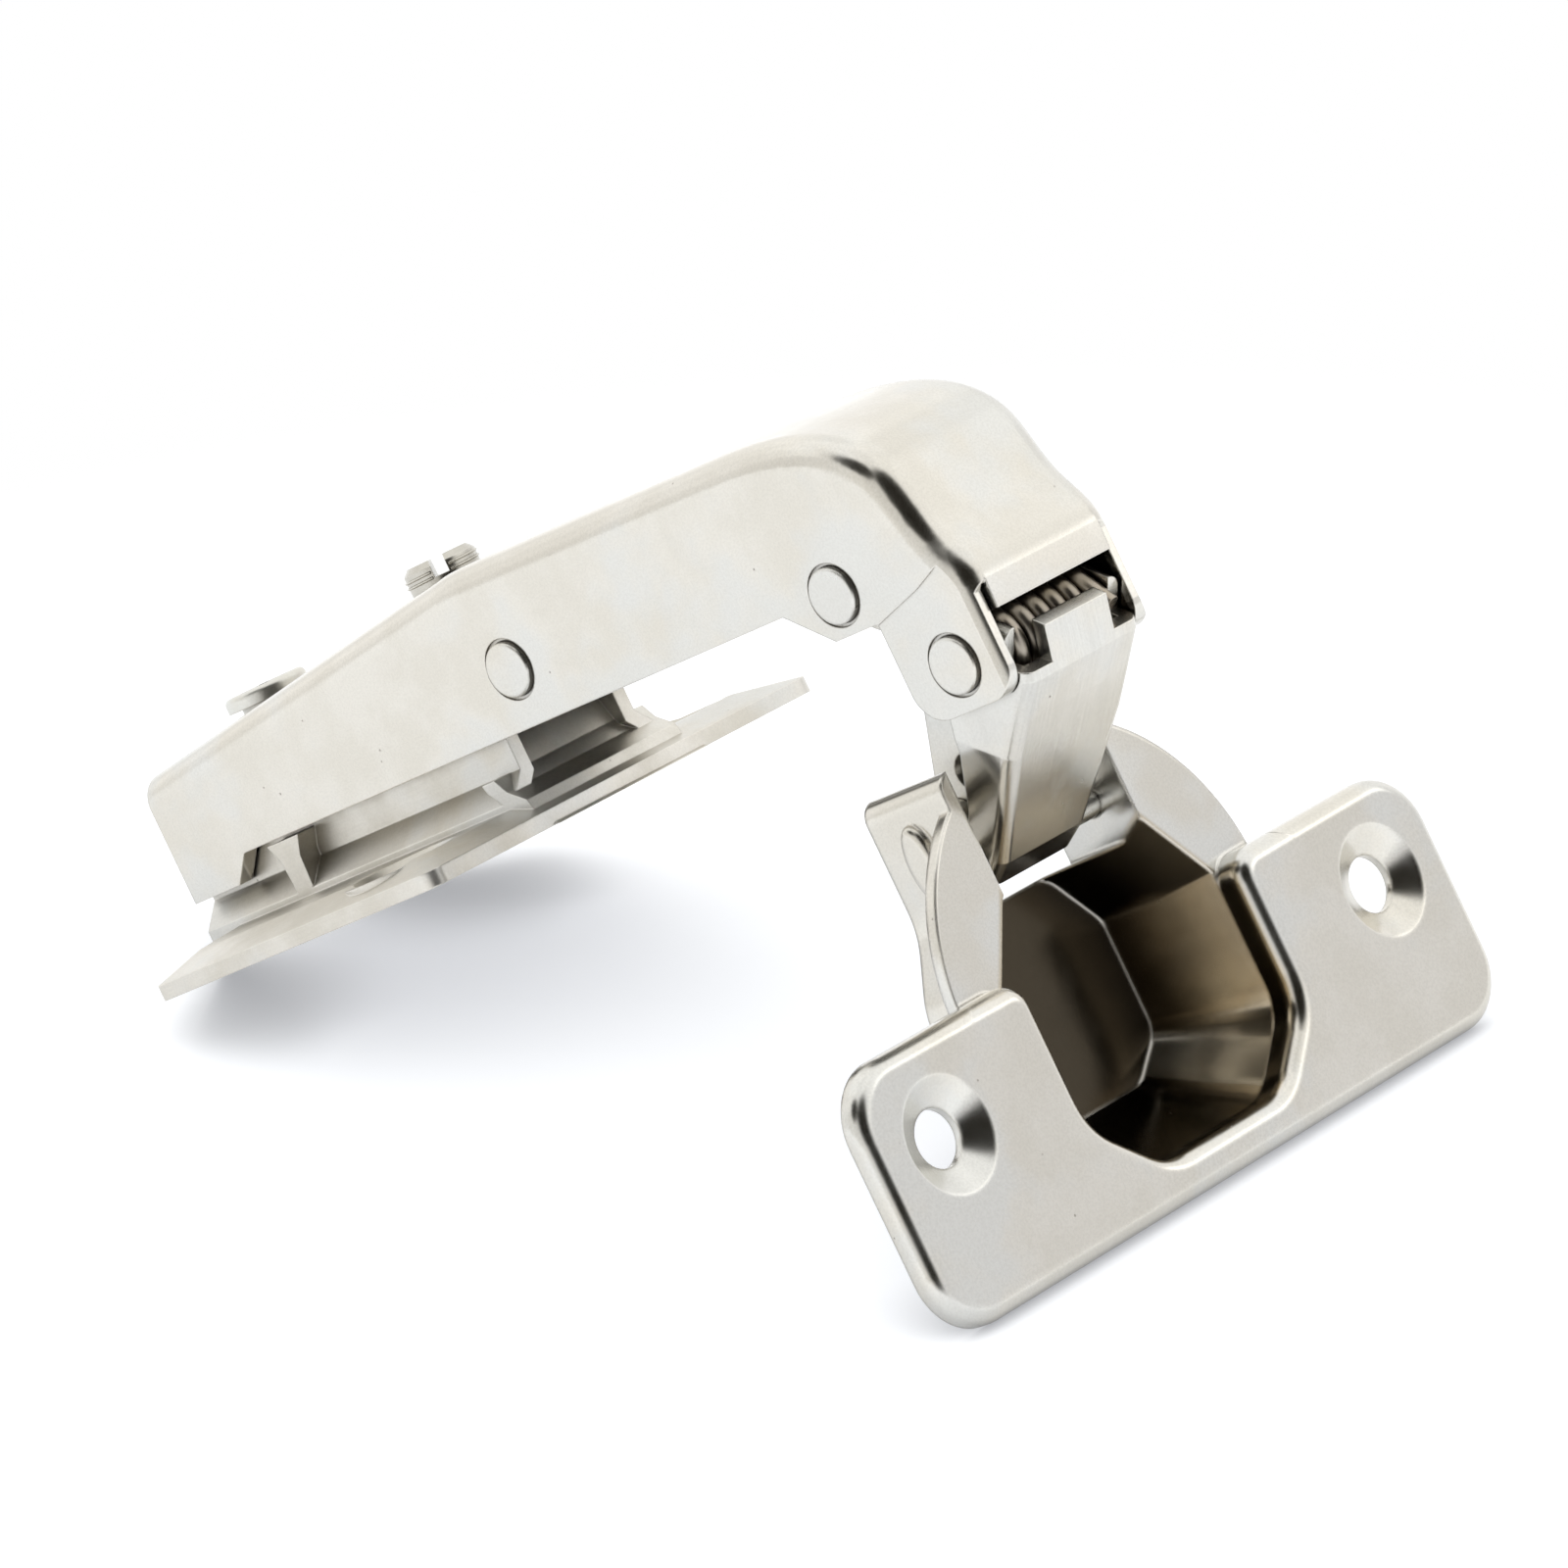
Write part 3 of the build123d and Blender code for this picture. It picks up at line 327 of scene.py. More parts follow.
@dataclass(frozen=True)
class Recess:
    """A hollow painted darker inside as painted shade, bounded by flat walls and the same on both
    sides (mm).
    """

    walls: tuple[tuple[Point, Point, Point], ...]
    inside: Point
    colour: Colour
    deep_colour: Colour
    depths: Band
    margin: float = 0.5

    def share(self, s: ShaderSheet, place: Socket) -> Socket:
        """Measures how far a point of the surface is inside.

        Args:
            s: The material's sheet.
            place: The point's socket, in metres.

        Returns:
            The share's socket, 1 inside and 0 outside.
        """
        parts = s.node("ShaderNodeSeparateXYZ", Vector=place).outputs
        folded = s.node("ShaderNodeCombineXYZ", X=parts["X"], Z=parts["Z"])
        s.feed(s.sum_of("ABSOLUTE", parts["Y"]), folded.inputs["Y"])
        nearest = None
        for wall in self.walls:
            first, second, third = (Vector(corner) * MM for corner in wall)
            normal = (second - first).cross(third - first).normalized()
            if normal.dot(Vector(self.inside) * MM - first) < 0:
                normal = -normal
            depth = s.sum_of("SUBTRACT", s.along(folded.outputs[0], normal), first.dot(normal))
            nearest = depth if nearest is None else s.sum_of("MINIMUM", nearest, depth)
        return s.spread(nearest, -self.margin * MM, 0.0)

    def shade_inside(self, s: ShaderSheet, place: Socket) -> Socket:
        """Paints shade inside, darker with depth along X.

        Args:
            s: The material's sheet.
            place: The point's socket, in metres.

        Returns:
            The colour's socket.
        """
        wave = s.noise(SHADE_WAVE, place)
        wave = s.spread(wave, *SHADE_WAVE_BAND, (-SHADE_WAVE_REACH, SHADE_WAVE_REACH))
        along = s.node("ShaderNodeSeparateXYZ", Vector=place).outputs["X"]
        mouth, floor = (depth * MM for depth in self.depths)
        share = s.spread(s.sum_of("ADD", along, wave), floor, mouth, (1.0, 0.0))
        return s.tint(share, self.colour, self.deep_colour)


@dataclass(frozen=True)
class PlatedSteel:
    """Nickel plating over pressed, drawn or stamped steel."""

    name: str
    colour: Colour = (0.69, 0.665, 0.61)
    roughness: float = 0.24
    peel: float = 0.10
    grain: float = 0.18
    lines: float = 0.0
    lay: Lay = Lay.NONE
    specks: float = 0.6
    clouds: float = 0.06
    sand: float = 0.10
    rim: float = 0.5
    nook_shade: float = 0.55
    nook: float = 1.2 * MM
    edge: float = 0.18 * MM
    recess: Recess | None = None

    def pins(self, s: ShaderSheet, place: Socket) -> Socket:
        """Scatters pin marks.

        Args:
            s: The material's sheet.
            place: The point's socket.

        Returns:
            The marks' socket, 0 between them.
        """
        cell = s.node("ShaderNodeTexVoronoi", Vector=place, Scale=PIN_SCALE, Randomness=1.0)
        spot = s.spread(cell.outputs["Distance"], *PIN_RADII, (1.0, 0.0))
        chance = s.spread(s.noise(PIN_CHANCE, place), *PIN_CHANCE_BAND)
        return s.sum_of("MULTIPLY", s.sum_of("MULTIPLY", spot, chance), self.specks)

    def plating(self, s: ShaderSheet, cloud: Socket, cool: Socket, fine: Socket) -> Socket:
        """Colours the clean metal.

        Args:
            s: The material's sheet.
            cloud: Slow changes of tone.
            cool: Share of the cooler haze.
            fine: Fine grain.

        Returns:
            The colour's socket.
        """
        dull = tuple(c * (1.0 - self.clouds * tone) for c, tone in zip(self.colour, CLOUD_TONES))
        hazy = tuple(c * tone for c, tone in zip(self.colour, HAZE_TONES))
        skin = s.tint(s.spread(cloud, *CLOUD_BAND), dull, self.colour)
        skin = s.tint(cool, skin, hazy)
        return s.tint(s.spread(fine, *GRAIN_BAND, (self.sand, 0.0)), skin, GRAIN_COLOUR)

    def shaded(self, s: ShaderSheet, place: Socket, soft: Socket, skin: Socket) -> Socket:
        """Paints shade into nooks and the recess, and paints highlights on the rims.

        Args:
            s: The material's sheet.
            place: The point's socket.
            soft: The normal with softened edges.
            skin: The colour so far.

        Returns:
            The colour's socket.
        """
        # painted shade: nooks and creases found by ambient occlusion are darkened
        nook = s.node("ShaderNodeAmbientOcclusion", Distance=self.nook, samples=FINE_SAMPLES)
        shade = s.spread(nook.outputs["AO"], *NOOK_BAND, (self.nook_shade, 0.0))
        skin = s.tint(shade, skin, NOOK_SHADE_COLOUR)
        # painted shade inside the recess
        if self.recess is not None:
            deep = s.tint(1.0, skin, self.recess.shade_inside(s, place), "MULTIPLY")
            skin = s.tint(self.recess.share(s, place), skin, deep)
        # painted highlight: edges where the softened normal turns from the true one are lightened
        flat = s.node("ShaderNodeNewGeometry").outputs["Normal"]
        rim = s.spread(s.along(soft, flat), *RIM_BAND, (self.rim, 0.0))
        return s.tint(rim, skin, RIM_HIGHLIGHT_COLOUR)

    def material(self) -> bpy.types.Material:
        """Builds the finish: clouding, fine grain, pin marks, scratches, softened edges, painted
        shade in nooks and recesses and painted highlights on rims.

        Returns:
            The material.
        """
        made, s = blank_material(self.name)
        place = s.node("ShaderNodeTexCoord").outputs["Object"]
        cloud, fine = s.noise(CLOUD, place), s.noise(GRAIN, place)
        spot = self.pins(s, place)
        cool = s.spread(s.noise(HAZE, place), *HAZE_BAND, (0.0, HAZE_SHARE))
        soft = s.node("ShaderNodeBevel", Radius=self.edge, samples=FINE_SAMPLES).outputs[0]
        skin = s.tint(spot, self.plating(s, cloud, cool, fine), PIN_COLOUR)
        skin = self.shaded(s, place, soft, skin)
        worn = tuple(self.roughness * share for share in WORN_RANGE)
        rough = s.spread(cloud, *WORN_BAND, worn)
        rough = s.sum_of("ADD", rough, s.sum_of("MULTIPLY", spot, PIN_ROUGH))
        rough = s.sum_of("ADD", rough, s.sum_of("MULTIPLY", cool, HAZE_ROUGH))
        height = s.sum_of("MULTIPLY", s.noise(PEEL, place), self.peel)
        height = s.sum_of("ADD", height, s.sum_of("MULTIPLY", fine, self.grain * GRAIN_DEPTH))
        height = s.sum_of("SUBTRACT", height, s.sum_of("MULTIPLY", spot, PIN_DEPTH))
        if self.lines > 0:
            turned = s.node("ShaderNodeMapping", Vector=place, Scale=self.lay.value)
            streak = s.noise(STREAK, turned.outputs[0])
            height = s.sum_of("ADD", height, s.sum_of("MULTIPLY", streak, self.lines))
            rubbed = s.spread(streak, *GRAIN_BAND, (min(STREAK_MOST, self.lines), 0.0))
            skin = s.tint(rubbed, skin, RUBBED_COLOUR)
        bump = s.node("ShaderNodeBump", Height=height, Normal=soft, Strength=BUMP_STRENGTH)
        bump.inputs["Distance"].default_value = BUMP_DISTANCE
        shader = s.node("ShaderNodeBsdfPrincipled", Normal=bump.outputs[0], Roughness=rough)
        shader.inputs["Metallic"].default_value = 1.0
        s.feed(skin, shader.inputs["Base Color"])
        s.close("ShaderNodeOutputMaterial", shader)
        return made


@dataclass(frozen=True)
class Moulding:
    """A moulded plastic or rubber finish."""

    name: str
    colour: Colour
    roughness: float = 0.45
    grain: float = 0.25
    through: float = 0.0

    def material(self) -> bpy.types.Material:
        """Builds the finish: a faint spark texture and slow changes of tone.

        Returns:
            The material.
        """
        made, s = blank_material(self.name)
        place = s.node("ShaderNodeTexCoord").outputs["Object"]
        slow, fine = s.noise(MOULD_TONE, place), s.noise(MOULD_GRAIN, place)
        dull = tuple(c * MOULD_DULL for c in self.colour)
        worn = tuple(self.roughness * share for share in MOULD_ROUGH_RANGE)
        skin = s.tint(s.spread(slow, *MOULD_TONE_BAND), dull, self.colour)
        rough = s.spread(slow, *MOULD_TONE_BAND, worn)
        soft = s.node("ShaderNodeBevel", Radius=MOULD_EDGE, samples=MOULD_EDGE_SAMPLES)
        bump = s.node("ShaderNodeBump", Height=fine, Normal=soft.outputs[0], Strength=self.grain)
        bump.inputs["Distance"].default_value = MOULD_GRAIN_DISTANCE
        shader = s.node("ShaderNodeBsdfPrincipled", Normal=bump.outputs[0], Roughness=rough)
        shader.inputs["Subsurface Weight"].default_value = self.through
        shader.inputs["Subsurface Scale"].default_value = MOULD_SCATTER
        s.feed(skin, shader.inputs["Base Color"])
        s.close("ShaderNodeOutputMaterial", shader)
        return made


# painted shade: the cup's pocket is painted browner and darker inside, darkest at its floor
POCKET = Recess(
    walls=(
        ((49.4, 12.6, -35.1), (49.4, 12.6, -23.7), (40.5, 8.8, -32.9)),
        ((49.4, 6.9, -40.2), (49.4, 12.6, -35.1), (40.5, 5.0, -35.9)),
        ((49.4, 0.0, -40.2), (49.4, 6.9, -40.2), (40.5, 0.0, -35.9)),
        ((49.4, 12.6, -23.7), (49.4, 8.1, -17.3), (40.5, 8.8, -23.7)),
        ((51.2, 0.0, -30.0), (51.2, 9.0, -30.0), (51.2, 0.0, -20.0)),
        ((50.0, 8.1, -12.0), (40.0, 8.1, -12.0), (50.0, 20.0, -40.0)),
        ((40.5, 0.0, -30.0), (40.5, 5.0, -30.0), (40.5, 0.0, -20.0)),
    ),
    inside=(45.0, 0.0, -28.0),
    colour=(0.80, 0.71, 0.57),
    deep_colour=(0.10, 0.085, 0.065),
    depths=(50.5, 40.9),
)
# painted shade and oil: the arm's nose is painted dark inside
NOSE_HOLLOW = Recess(
    walls=(
        ((58.7, 0.0, 0.0), (58.7, 5.0, 0.0), (58.7, 0.0, 5.0)),
        ((50.0, 6.97, 0.0), (55.0, 6.97, 0.0), (50.0, 6.97, 5.0)),
        ((50.0, 0.0, 5.6), (55.0, 0.0, 5.6), (50.0, 5.0, 5.6)),
    ),
    inside=(53.0, 0.0, 0.0),
    colour=(0.16, 0.135, 0.11),
    deep_colour=(0.08, 0.07, 0.06),
    depths=(58.0, 50.0),
    margin=0.2,
)


class Finish(Enum):
    """Every finish on the hinge."""

    SATIN_SHEET = PlatedSteel("satin_nickel_sheet", roughness=0.18, recess=NOSE_HOLLOW)
    CUP_SHEET = PlatedSteel(
        "deep_drawn_nickel_cup", roughness=0.15, peel=0.14, edge=0.45 * MM, recess=POCKET
    )
    LINK_SHEET = PlatedSteel(
        "scratched_nickel_link", roughness=0.20, grain=0.6, lines=0.16, lay=Lay.ALONG_Z, specks=0.8
    )
    PLATE_SHEET = PlatedSteel(
        "pressed_nickel_plate", roughness=0.36, peel=0.16, clouds=0.10, lines=0.10, lay=Lay.ALONG_X
    )
    STAMPED = PlatedSteel(
        "stamped_link_plates", (0.66, 0.64, 0.59), roughness=0.30, lines=0.16, lay=Lay.ALONG_Y
    )
    # painted shade: a strong share darkens the groove round each head
    RIVET = PlatedSteel(
        "riveted_nickel_pin",
        roughness=0.21,
        peel=0.06,
        specks=0.9,
        rim=0.2,
        nook_shade=0.95,
        nook=0.8 * MM,
        edge=0.3 * MM,
    )
    TUBE = PlatedSteel(
        "drawn_bright_tube", (0.70, 0.68, 0.64), roughness=0.17, lines=0.05, lay=Lay.ALONG_X
    )
    # painted shade: the gaps between the coils are painted nearly black
    WIRE = PlatedSteel(
        "oiled_spring_wire",
        (0.40, 0.35, 0.285),
        roughness=0.26,
        specks=0.3,
        clouds=0.3,
        rim=0.0,
        nook_shade=1.0,
        nook=1.5 * MM,
    )
    SCREW = PlatedSteel(
        "plated_screw", (0.70, 0.68, 0.62), roughness=0.30, peel=0.05, edge=0.12 * MM
    )
    STUD = PlatedSteel("threaded_stud", (0.55, 0.53, 0.48), roughness=0.26, edge=0.08 * MM)
    NYLON = Moulding("milky_nylon", (0.80, 0.80, 0.77), 0.42, through=0.15)
    CAP = Moulding("black_acetal", (0.018, 0.018, 0.02), 0.38)
    PISTON = Moulding("grey_acetal", (0.10, 0.10, 0.11), 0.40)
    SEAL = Moulding("dark_seal_rubber", (0.03, 0.03, 0.032), 0.62)


class Finisher:
    """Makes each finish once and puts it on pieces."""

    def __init__(self) -> None:
        """Starts with no finish made."""
        self.made: dict[Finish, bpy.types.Material] = {}

    def coat(self, piece: bpy.types.Object, finish: Finish) -> None:
        """Gives a piece one finish all over.

        Args:
            piece: A solid of the model or a piece of this file.
            finish: The finish it gets.
        """
        if finish not in self.made:
            self.made[finish] = finish.value.material()
        if piece.material_slots:
            for slot in piece.material_slots:
                slot.material = self.made[finish]
        else:
            piece.data.materials.append(self.made[finish])


# ------------------------------------------------------------------ the hinge's groups


@dataclass
class SolidGroup:
    """Solids of the model that share a finish."""

    title: str
    finish: Finish
    nodes: list[str]

    def dress(self, frame: dict, finisher: Finisher) -> None:
        """Coats every solid of the group.

        Args:
            finisher: The maker of finishes.
        """
        for name in self.nodes:
            finisher.coat(frame["nodes"][name], self.finish)
            LOG.info("%s: %s in %s", self.title, name, self.finish.value.name)


@dataclass
class HingeSolids:
    """All solids of the hinge, by group."""

    plates: int = 10
    groups: list[SolidGroup] = field(default_factory=list)

    def __post_init__(self) -> None:
        """Lists the groups."""
        pack = [f"inner_link_plate_{number + 1}" for number in range(self.plates)]
        rivets = ["link_rivet", "nose_rivet", "damper_rivet_left", "damper_rivet_right"]
        self.groups = [
            SolidGroup("arm", Finish.SATIN_SHEET, ["arm"]),
            SolidGroup("plate", Finish.PLATE_SHEET, ["mounting_plate"]),
            SolidGroup("cup", Finish.CUP_SHEET, ["cup"]),
            SolidGroup("outer link", Finish.LINK_SHEET, ["outer_link"]),
            SolidGroup("inner link", Finish.STAMPED, pack),
            SolidGroup("rivets", Finish.RIVET, [*rivets, "cup_pin"]),
            SolidGroup("spring", Finish.WIRE, ["torsion_spring"]),
            SolidGroup("fixing screw", Finish.SCREW, ["fixing_screw"]),
            SolidGroup("adjusting screw", Finish.STUD, ["side_adjust_screw"]),
            SolidGroup("damper tube", Finish.TUBE, ["damper_cylinder", "damper_rod"]),
            SolidGroup("damper cap", Finish.CAP, ["damper_end_cap"]),
            SolidGroup("damper piston", Finish.PISTON, ["damper_piston"]),
            SolidGroup("damper seal", Finish.SEAL, ["damper_seal"]),
            SolidGroup("pads", Finish.NYLON, ["nylon_pad_left", "nylon_pad_right"]),
        ]

    def dress(self, frame: dict, finisher: Finisher) -> None:
        """Coats every group."""
        for group in self.groups:
            group.dress(frame, finisher)


@dataclass
class TwistingSpring:
    """Torsion spring that winds up between the arm's nose and the outer link (mm)."""

    node: str = "torsion_spring"
    pivot: tuple[float, float] = (55.1, -0.65)
    arm_end: float = -3.7
    link_end: float = 3.7

    def build(self, frame: dict, finisher: Finisher) -> bpy.types.Object:
        """Copies the solid's coil, coats it and hides the solid.

        Args:
            finisher: The maker of finishes.

        Returns:
            The coil.
        """
        coil = bpy.data.objects.new("wound_spring", frame["nodes"][self.node].data.copy())
        bpy.context.scene.collection.objects.link(coil)
        finisher.coat(coil, Finish.WIRE)
        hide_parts(self.node)
        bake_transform(coil)
        LOG.info("spring: twists between the arm and the outer link")
        return coil


@dataclass
class StudThread:
    """Rolled thread that shows on the adjusting screw above the arm (mm and degrees)."""

    node: str = "side_adjust_screw"
    axis: tuple[float, float] = (0.6, 0.0)
    radius: float = 3.0
    proud: float = 0.14
    sunk: float = 0.10
    root: float = 0.17
    crest: float = 0.05
    pitch: float = 0.46
    low: float = 1.75
    high: float = 0.62
    slot_half: float = 0.72
    slot_depth: float = 1.5
    slot_turn: float = -45.0
    step: float = 6.0

    def in_slot(self, angle: float, below: float) -> bool:
        """Tells whether the driver's slot cuts the ridge at a place.

        Args:
            angle: Place round the axis, in degrees.
            below: Distance under the screw's top, in mm.

        Returns:
            True where there is no metal.
        """
        across = self.radius * abs(math.sin(math.radians(angle - self.slot_turn)))
        return below < self.slot_depth and across < self.slot_half

    def section(self, angle: float, height: float) -> list[Vector]:
        """Places the ridge's four corners at one angle.

        Args:
            angle: Place round the axis, in degrees.
            height: Height of the ridge's middle, in mm.

        Returns:
            The corners, in metres.
        """
        way = Vector((math.cos(math.radians(angle)), math.sin(math.radians(angle)), 0.0))
        middle = Vector((*self.axis, height))
        inner, outer = self.radius - self.sunk, self.radius + self.proud
        rows = ((inner, -self.root), (outer, -self.crest), (outer, self.crest), (inner, self.root))
        return [(middle + way * reach + Vector((0.0, 0.0, rise))) * MM for reach, rise in rows]

    def runs(self, top: float) -> list[list[list[Vector]]]:
        """Splits the helix where the slot crosses it.

        Args:
            top: Height of the screw's top, in mm.

        Returns:
            Each unbroken run as its sections in order.
        """
        parts: list[list[list[Vector]]] = [[]]
        count = int((self.low - self.high) / self.pitch * TURN / self.step)
        for number in range(count + 1):
            angle = number * self.step
            below = self.low - self.pitch * angle / TURN
            if self.in_slot(angle, below):
                parts.append([])
            else:
                parts[-1].append(self.section(angle, top - below))
        return [part for part in parts if len(part) > 2]

    def build(self, finisher: Finisher) -> bpy.types.Object:
        """Makes the ridge as closed pieces of helix in one mesh.

        Args:
            finisher: The maker of finishes.

        Returns:
            The ridge, riding on the screw.
        """
        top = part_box(self.node)[1][2] / MM
        shape = bmesh.new()
        for part in self.runs(top):
            rings = [[shape.verts.new(corner) for corner in ring] for ring in part]
            for first, second in zip(rings, rings[1:]):
                for k in range(len(first)):
                    after = (k + 1) % len(first)
                    shape.faces.new((first[k], first[after], second[after], second[k]))
            shape.faces.new(rings[0][::-1])
            shape.faces.new(rings[-1])
        bmesh.ops.recalc_face_normals(shape, faces=shape.faces)
        mesh = bpy.data.meshes.new("stud_thread")
        shape.to_mesh(mesh)
        shape.free()
        ridge = bpy.data.objects.new("stud_thread", mesh)
        bpy.context.scene.collection.objects.link(ridge)
        finisher.coat(ridge, Finish.STUD)
        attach(ridge, self.node)
        LOG.info("stud thread: %d faces", len(mesh.polygons))
        return ridge


# ------------------------------------------------------------------ studio

WHITE = (1.0, 1.0, 1.0)
BLACK = (0.0, 0.0, 0.0)


@dataclass(frozen=True)
class Softbox:
    """A lamp that looks at the hinge, round or a low card that shows in gloss."""

    name: str
    place: Point
    size: float
    power: float
    colour: Colour = WHITE
    card_height: float = 0.0
    target: Point | None = None

    def hang(self, target: Vector) -> bpy.types.Object:
        """Makes the lamp.

        Args:
            target: The point it faces when it has none of its own.

        Returns:
            The lamp's object.
        """
        data = bpy.data.lights.new(self.name, "AREA")
        data.shape = "RECTANGLE" if self.card_height else "DISK"
        data.size = self.size
        data.size_y = self.card_height
        data.energy = self.power
        data.color = self.colour
        lamp = bpy.data.objects.new(self.name, data)
        bpy.context.scene.collection.objects.link(lamp)
        lamp.visible_glossy = bool(self.card_height)
        lamp.location = self.place
        aim = Vector(self.target) if self.target else target
        lamp.rotation_euler = (aim - Vector(self.place)).to_track_quat("-Z", "Y").to_euler()
        return lamp


@dataclass(frozen=True)
class TentPanel:
    """A side of the tent with a tone of its own in the metal."""

    axis: Point
    band: Band
    colour: Colour
    strength: float = 1.0

    def over(self, s: ShaderSheet, way: Socket, tent: object) -> Socket:
        """Lays the panel's tone over the tent's.

        Args:
            s: The world's sheet.
            way: The direction's socket.
            tent: The tent's colour so far.

        Returns:
            The new colour's socket.
        """
        share = s.spread(s.along(way, Vector(self.axis)), *self.band, (0.0, self.strength))
        return s.tint(share, tent, self.colour)


@dataclass(frozen=True)
class Hood:
    """A dark side of the tent, which the metal reflects as black."""

    middle: Point
    side: Point
    reach: Band
    fade: Band = (0.80, 1.10)
    horizon: float = 0.05

    def share(self, s: ShaderSheet, way: Socket) -> Socket:
        """Measures how far a direction is inside the dark side.

        Args:
            s: The world's sheet.
            way: The direction's socket.

        Returns:
            The share's socket, 1 inside and 0 outside.
        """
        middle = Vector(self.middle).normalized()
        side = Vector(self.side)
        side = (side - middle * side.dot(middle)).normalized()
        squares = []
        for axis, reach in zip((side, middle.cross(side)), self.reach):
            part = s.sum_of("DIVIDE", s.along(way, axis), reach)
            squares.append(s.sum_of("MULTIPLY", part, part))
        ring = s.sum_of("SQRT", s.sum_of("ADD", *squares))
        front = s.spread(s.along(way, middle), 0.0, self.horizon)
        return s.sum_of("MULTIPLY", s.spread(ring, *self.fade, (1.0, 0.0)), front)


@dataclass(frozen=True)
class WhiteTent:
    """Surroundings of the hinge: a soft sky for matt surfaces and a tent for glossy ones."""

    fill: float = 3.15
    fill_colour: Colour = (0.94, 0.97, 1.0)
    sky_axis: Point = (-0.75, 0.35, 0.6)
    sky_band: Band = (-0.5, 0.9)
    sky: Band = (0.36, 0.58)
    base: Colour = (1.03, 1.03, 1.04)
    panels: tuple[TentPanel, ...] = (
        TentPanel((-0.8, 0.0, 0.6), (-0.65, 0.35), (1.27, 1.265, 1.25)),
        TentPanel((0.447, 0.0, 0.894), (0.33, 0.50), (1.32, 1.32, 1.30)),
        TentPanel((0.0, -1.0, 0.0), (0.2, 0.8), (1.02, 1.01, 0.98), strength=0.75),
    )
    drift: Noise = Noise(2.6)
    drift_band: Band = (0.35, 0.65)
    drift_share: float = 0.16
    drift_colour: Colour = (0.2, 0.2, 0.2)
    hoods: tuple[Hood, ...] = (
        Hood((0.845, -0.468, 0.259), (0.485, 0.875, 0.0), (0.56, 0.62)),
        Hood((0.12, -0.66, 0.74), (0.98, 0.15, 0.0), (0.36, 0.30)),
    )
    hood_colour: Colour = (0.018, 0.016, 0.012)

    def mirrored(self, s: ShaderSheet, way: Socket) -> Socket:
        """Colours what the metal reflects.

        Args:
            s: The world's sheet.
            way: The direction's socket.

        Returns:
            The colour's socket.
        """
        hood = s.sum_of("MAXIMUM", *(hood.share(s, way) for hood in self.hoods))
        tent = self.base
        for panel in self.panels:
            tent = panel.over(s, way, tent)
        drift = s.spread(s.noise(self.drift, way), *self.drift_band, (0.0, self.drift_share))
        tent = s.tint(drift, tent, self.drift_colour)
        return s.tint(hood, tent, self.hood_colour)

    def raise_up(self) -> bpy.types.World:
        """Makes the world: white to the camera, the tent in gloss and the sky elsewhere.

        Returns:
            The world.
        """
        world = bpy.data.worlds.new("white_tent")
        world.use_nodes = True
        world.cycles.sampling_method = "NONE"
        bpy.context.scene.world = world
        s = ShaderSheet(world.node_tree)
        way = s.node("ShaderNodeTexCoord").outputs["Generated"]
        gloss = self.mirrored(s, way)
        rays = s.node("ShaderNodeLightPath").outputs
        height = s.along(way, Vector(self.sky_axis).normalized())
        lit = tuple(c * self.fill for c in self.fill_colour)
        sky = s.tint(s.spread(height, *self.sky_band, self.sky), BLACK, lit)
        plain = s.tint(rays["Is Glossy Ray"], sky, gloss)
        seen = s.sum_of("MAXIMUM", rays["Is Camera Ray"], rays["Is Transmission Ray"])
        back = s.node("ShaderNodeBackground", Color=s.tint(seen, plain, WHITE))
        s.close("ShaderNodeOutputWorld", back)
        return world


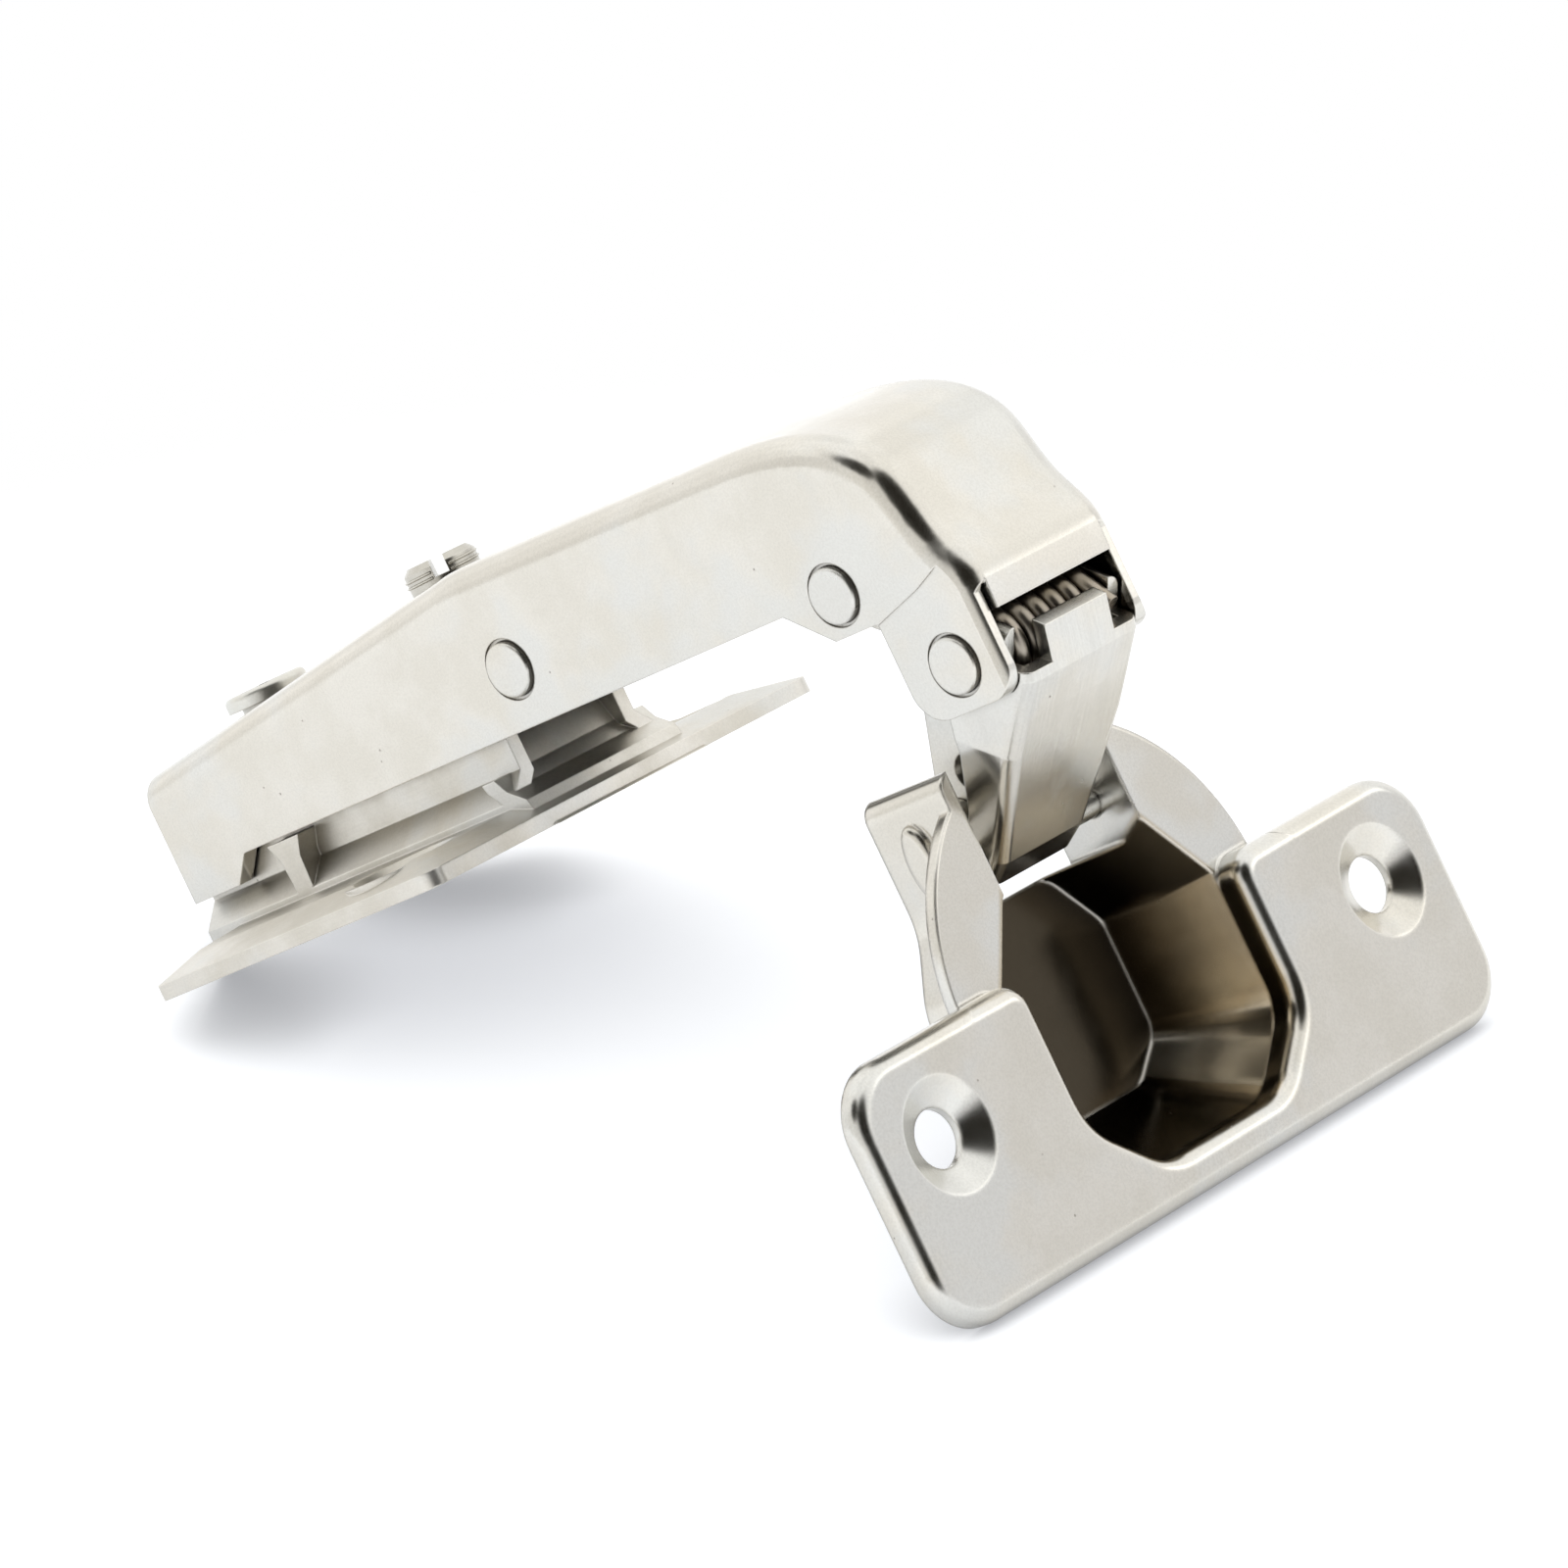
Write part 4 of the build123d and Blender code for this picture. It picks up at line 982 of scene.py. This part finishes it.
@dataclass(frozen=True)
class PaleSheet:
    """Pale sheet that the hinge rests on, white where nothing shades it."""

    middle: Point = (0.012, 0.0, 0.0)
    reach: float = 0.9
    segments: int = 96
    gap: float = 0.02
    steepest: float = 1.2
    halvings: int = 40
    colour: tuple[float, ...] = (0.62, 0.61, 0.59, 1.0)
    roughness: float = 0.6
    glow: tuple[float, ...] = (0.55, 0.56, 0.59, 1.0)
    mirrored: float = 0.72
    # painted contact shadow: how far and how deeply the glow is dimmed near the hinge
    contact: float = 10.0 * MM
    contact_samples: int = 8
    contact_band: Band = (0.30, 1.0)
    contact_shadow_tone: float = 0.58
    fade: Band = (0.085, 0.15)

    def rest_plane(self, frame: dict) -> tuple[Vector, Vector]:
        """Finds the plane that touches the plate's tail and the cup's flange from below.


        Returns:
            A point of the plane and its unit normal.
        """
        sides = []
        for name in ("mounting_plate", "cup"):
            sides.append([v.co.copy() for v in frame["nodes"][name].data.vertices])
        low, high = 0.0, self.steepest
        for _ in range(self.halvings):
            tilt = (low + high) / 2
            normal = Vector((math.sin(tilt), 0.0, math.cos(tilt)))
            tail, cup = (min(co.dot(normal) for co in side) for side in sides)
            if cup < tail:
                low = tilt
            else:
                high = tilt
        return normal * min(tail, cup), normal

    def lay(self, frame: dict) -> bpy.types.Object:
        """Lays the sheet under the hinge.


        Returns:
            The sheet.
        """
        point, normal = self.rest_plane(frame)
        middle = Vector(self.middle)
        middle -= normal * (middle - point).dot(normal)
        mesh = bpy.data.meshes.new("sheet")
        shape = bmesh.new()
        bmesh.ops.create_circle(shape, cap_ends=True, segments=self.segments, radius=self.reach)
        shape.to_mesh(mesh)
        shape.free()
        sheet = bpy.data.objects.new("sheet", mesh)
        bpy.context.scene.collection.objects.link(sheet)
        sheet.rotation_euler = normal.to_track_quat("Z", "Y").to_euler()
        sheet.location = middle - normal * self.gap * MM
        sheet.data.materials.append(self.material())
        sheet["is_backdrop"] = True
        return sheet

    def material(self) -> bpy.types.Material:
        """Builds a matt white that fades into the tent away from the hinge, with a painted contact
        shadow near it.

        Returns:
            The material.
        """
        made, s = blank_material("pale_sheet")
        place = s.node("ShaderNodeTexCoord").outputs["Object"]
        far = s.node("ShaderNodeVectorMath", operation="LENGTH")
        s.feed(place, far.inputs[0])
        fade = s.spread(far.outputs["Value"], *self.fade)
        rays = s.node("ShaderNodeLightPath").outputs
        matt = s.node("ShaderNodeBsdfDiffuse", Roughness=self.roughness, Color=self.colour)
        # painted contact shadow: the glow is dimmed where ambient occlusion finds the hinge near
        nook = s.node(
            "ShaderNodeAmbientOcclusion", Distance=self.contact, samples=self.contact_samples
        )
        near = s.spread(nook.outputs["AO"], *self.contact_band, (self.contact_shadow_tone, 1.0))
        dimmed = s.spread(rays["Is Glossy Ray"], 0.0, 1.0, (1.0, self.mirrored))
        lift = s.node("ShaderNodeEmission", Strength=s.sum_of("MULTIPLY", near, dimmed))
        lift.inputs["Color"].default_value = self.glow
        white = s.node("ShaderNodeAddShader")
        s.feed(matt.outputs[0], white.inputs[0])
        s.feed(lift.outputs[0], white.inputs[1])
        clear = s.node("ShaderNodeBsdfTransparent")
        under = s.node("ShaderNodeNewGeometry").outputs["Backfacing"]
        hide = s.sum_of("MAXIMUM", s.sum_of("MULTIPLY", fade, rays["Is Camera Ray"]), under)
        blend = s.node("ShaderNodeMixShader")
        for slot, source in zip(blend.inputs, (hide, white.outputs[0], clear.outputs[0])):
            s.feed(source, slot)
        s.close("ShaderNodeOutputMaterial", blend)
        return made


@dataclass
class Studio:
    """White tent, pale sheet, lamps and camera."""

    camera_place: Point = (0.5076, -0.4584, 0.0278)
    camera_right: Point = (0.63675, 0.64032, -0.42957)
    camera_up: Point = (0.26450, 0.34192, 0.90174)
    camera_lens: float = 202.573
    sensor: float = 36.0
    clip: Band = (0.02, 20.0)
    lamps: tuple[Softbox, ...] = (
        Softbox("key_softbox", (-0.36, 0.38, 0.62), 0.34, 1.3, (1.0, 0.985, 0.96)),
        Softbox("side_softbox", (-0.55, -0.35, 0.35), 0.40, 0.04, (1.0, 0.99, 0.97)),
        Softbox("back_softbox", (0.35, 0.65, 0.45), 0.45, 0.4),
        Softbox(
            "nose_card",
            (0.170, 0.111, 0.006),
            0.12,
            0.0104,
            (1.0, 0.99, 0.96),
            card_height=0.034,
            target=(0.059, 0.0, 0.003),
        ),
    )

    def set_camera(self) -> bpy.types.Object:
        """Makes the camera.

        Returns:
            The camera.
        """
        data = bpy.data.cameras.new("camera")
        data.sensor_width = self.sensor
        data.sensor_fit = "HORIZONTAL"
        data.lens = self.camera_lens
        data.clip_start, data.clip_end = self.clip
        camera = bpy.data.objects.new("camera", data)
        bpy.context.scene.collection.objects.link(camera)
        right = Vector(self.camera_right).normalized()
        up = Vector(self.camera_up)
        up = (up - right * up.dot(right)).normalized()
        turn = Matrix((right, up, right.cross(up))).transposed().to_4x4()
        camera.matrix_world = Matrix.Translation(Vector(self.camera_place)) @ turn
        bpy.context.scene.camera = camera
        return camera

    def build(self, frame: dict) -> None:
        """Sets up the whole studio.
        """
        self.set_camera()
        WhiteTent().raise_up()
        PaleSheet().lay(frame)
        low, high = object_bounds()
        for lamp in self.lamps:
            lamp.hang((low + high) / 2)
        bpy.context.scene.cycles.caustics_reflective = False
        bpy.context.scene.view_settings.view_transform = "Standard"
        LOG.info("studio: camera, tent, sheet and %d lamps", len(self.lamps))


# ------------------------------------------------------------------ making


def main() -> None:
    """Builds the hinge's looks in order."""
    logging.basicConfig(level=logging.INFO, format="%(message)s")
    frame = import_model()
    finisher = Finisher()
    HingeSolids().dress(frame, finisher)
    TwistingSpring().build(frame, finisher)
    StudThread().build(finisher)
    Studio().build(frame)
    LOG.info("boxes written")


if __name__ == "__main__":
    main()
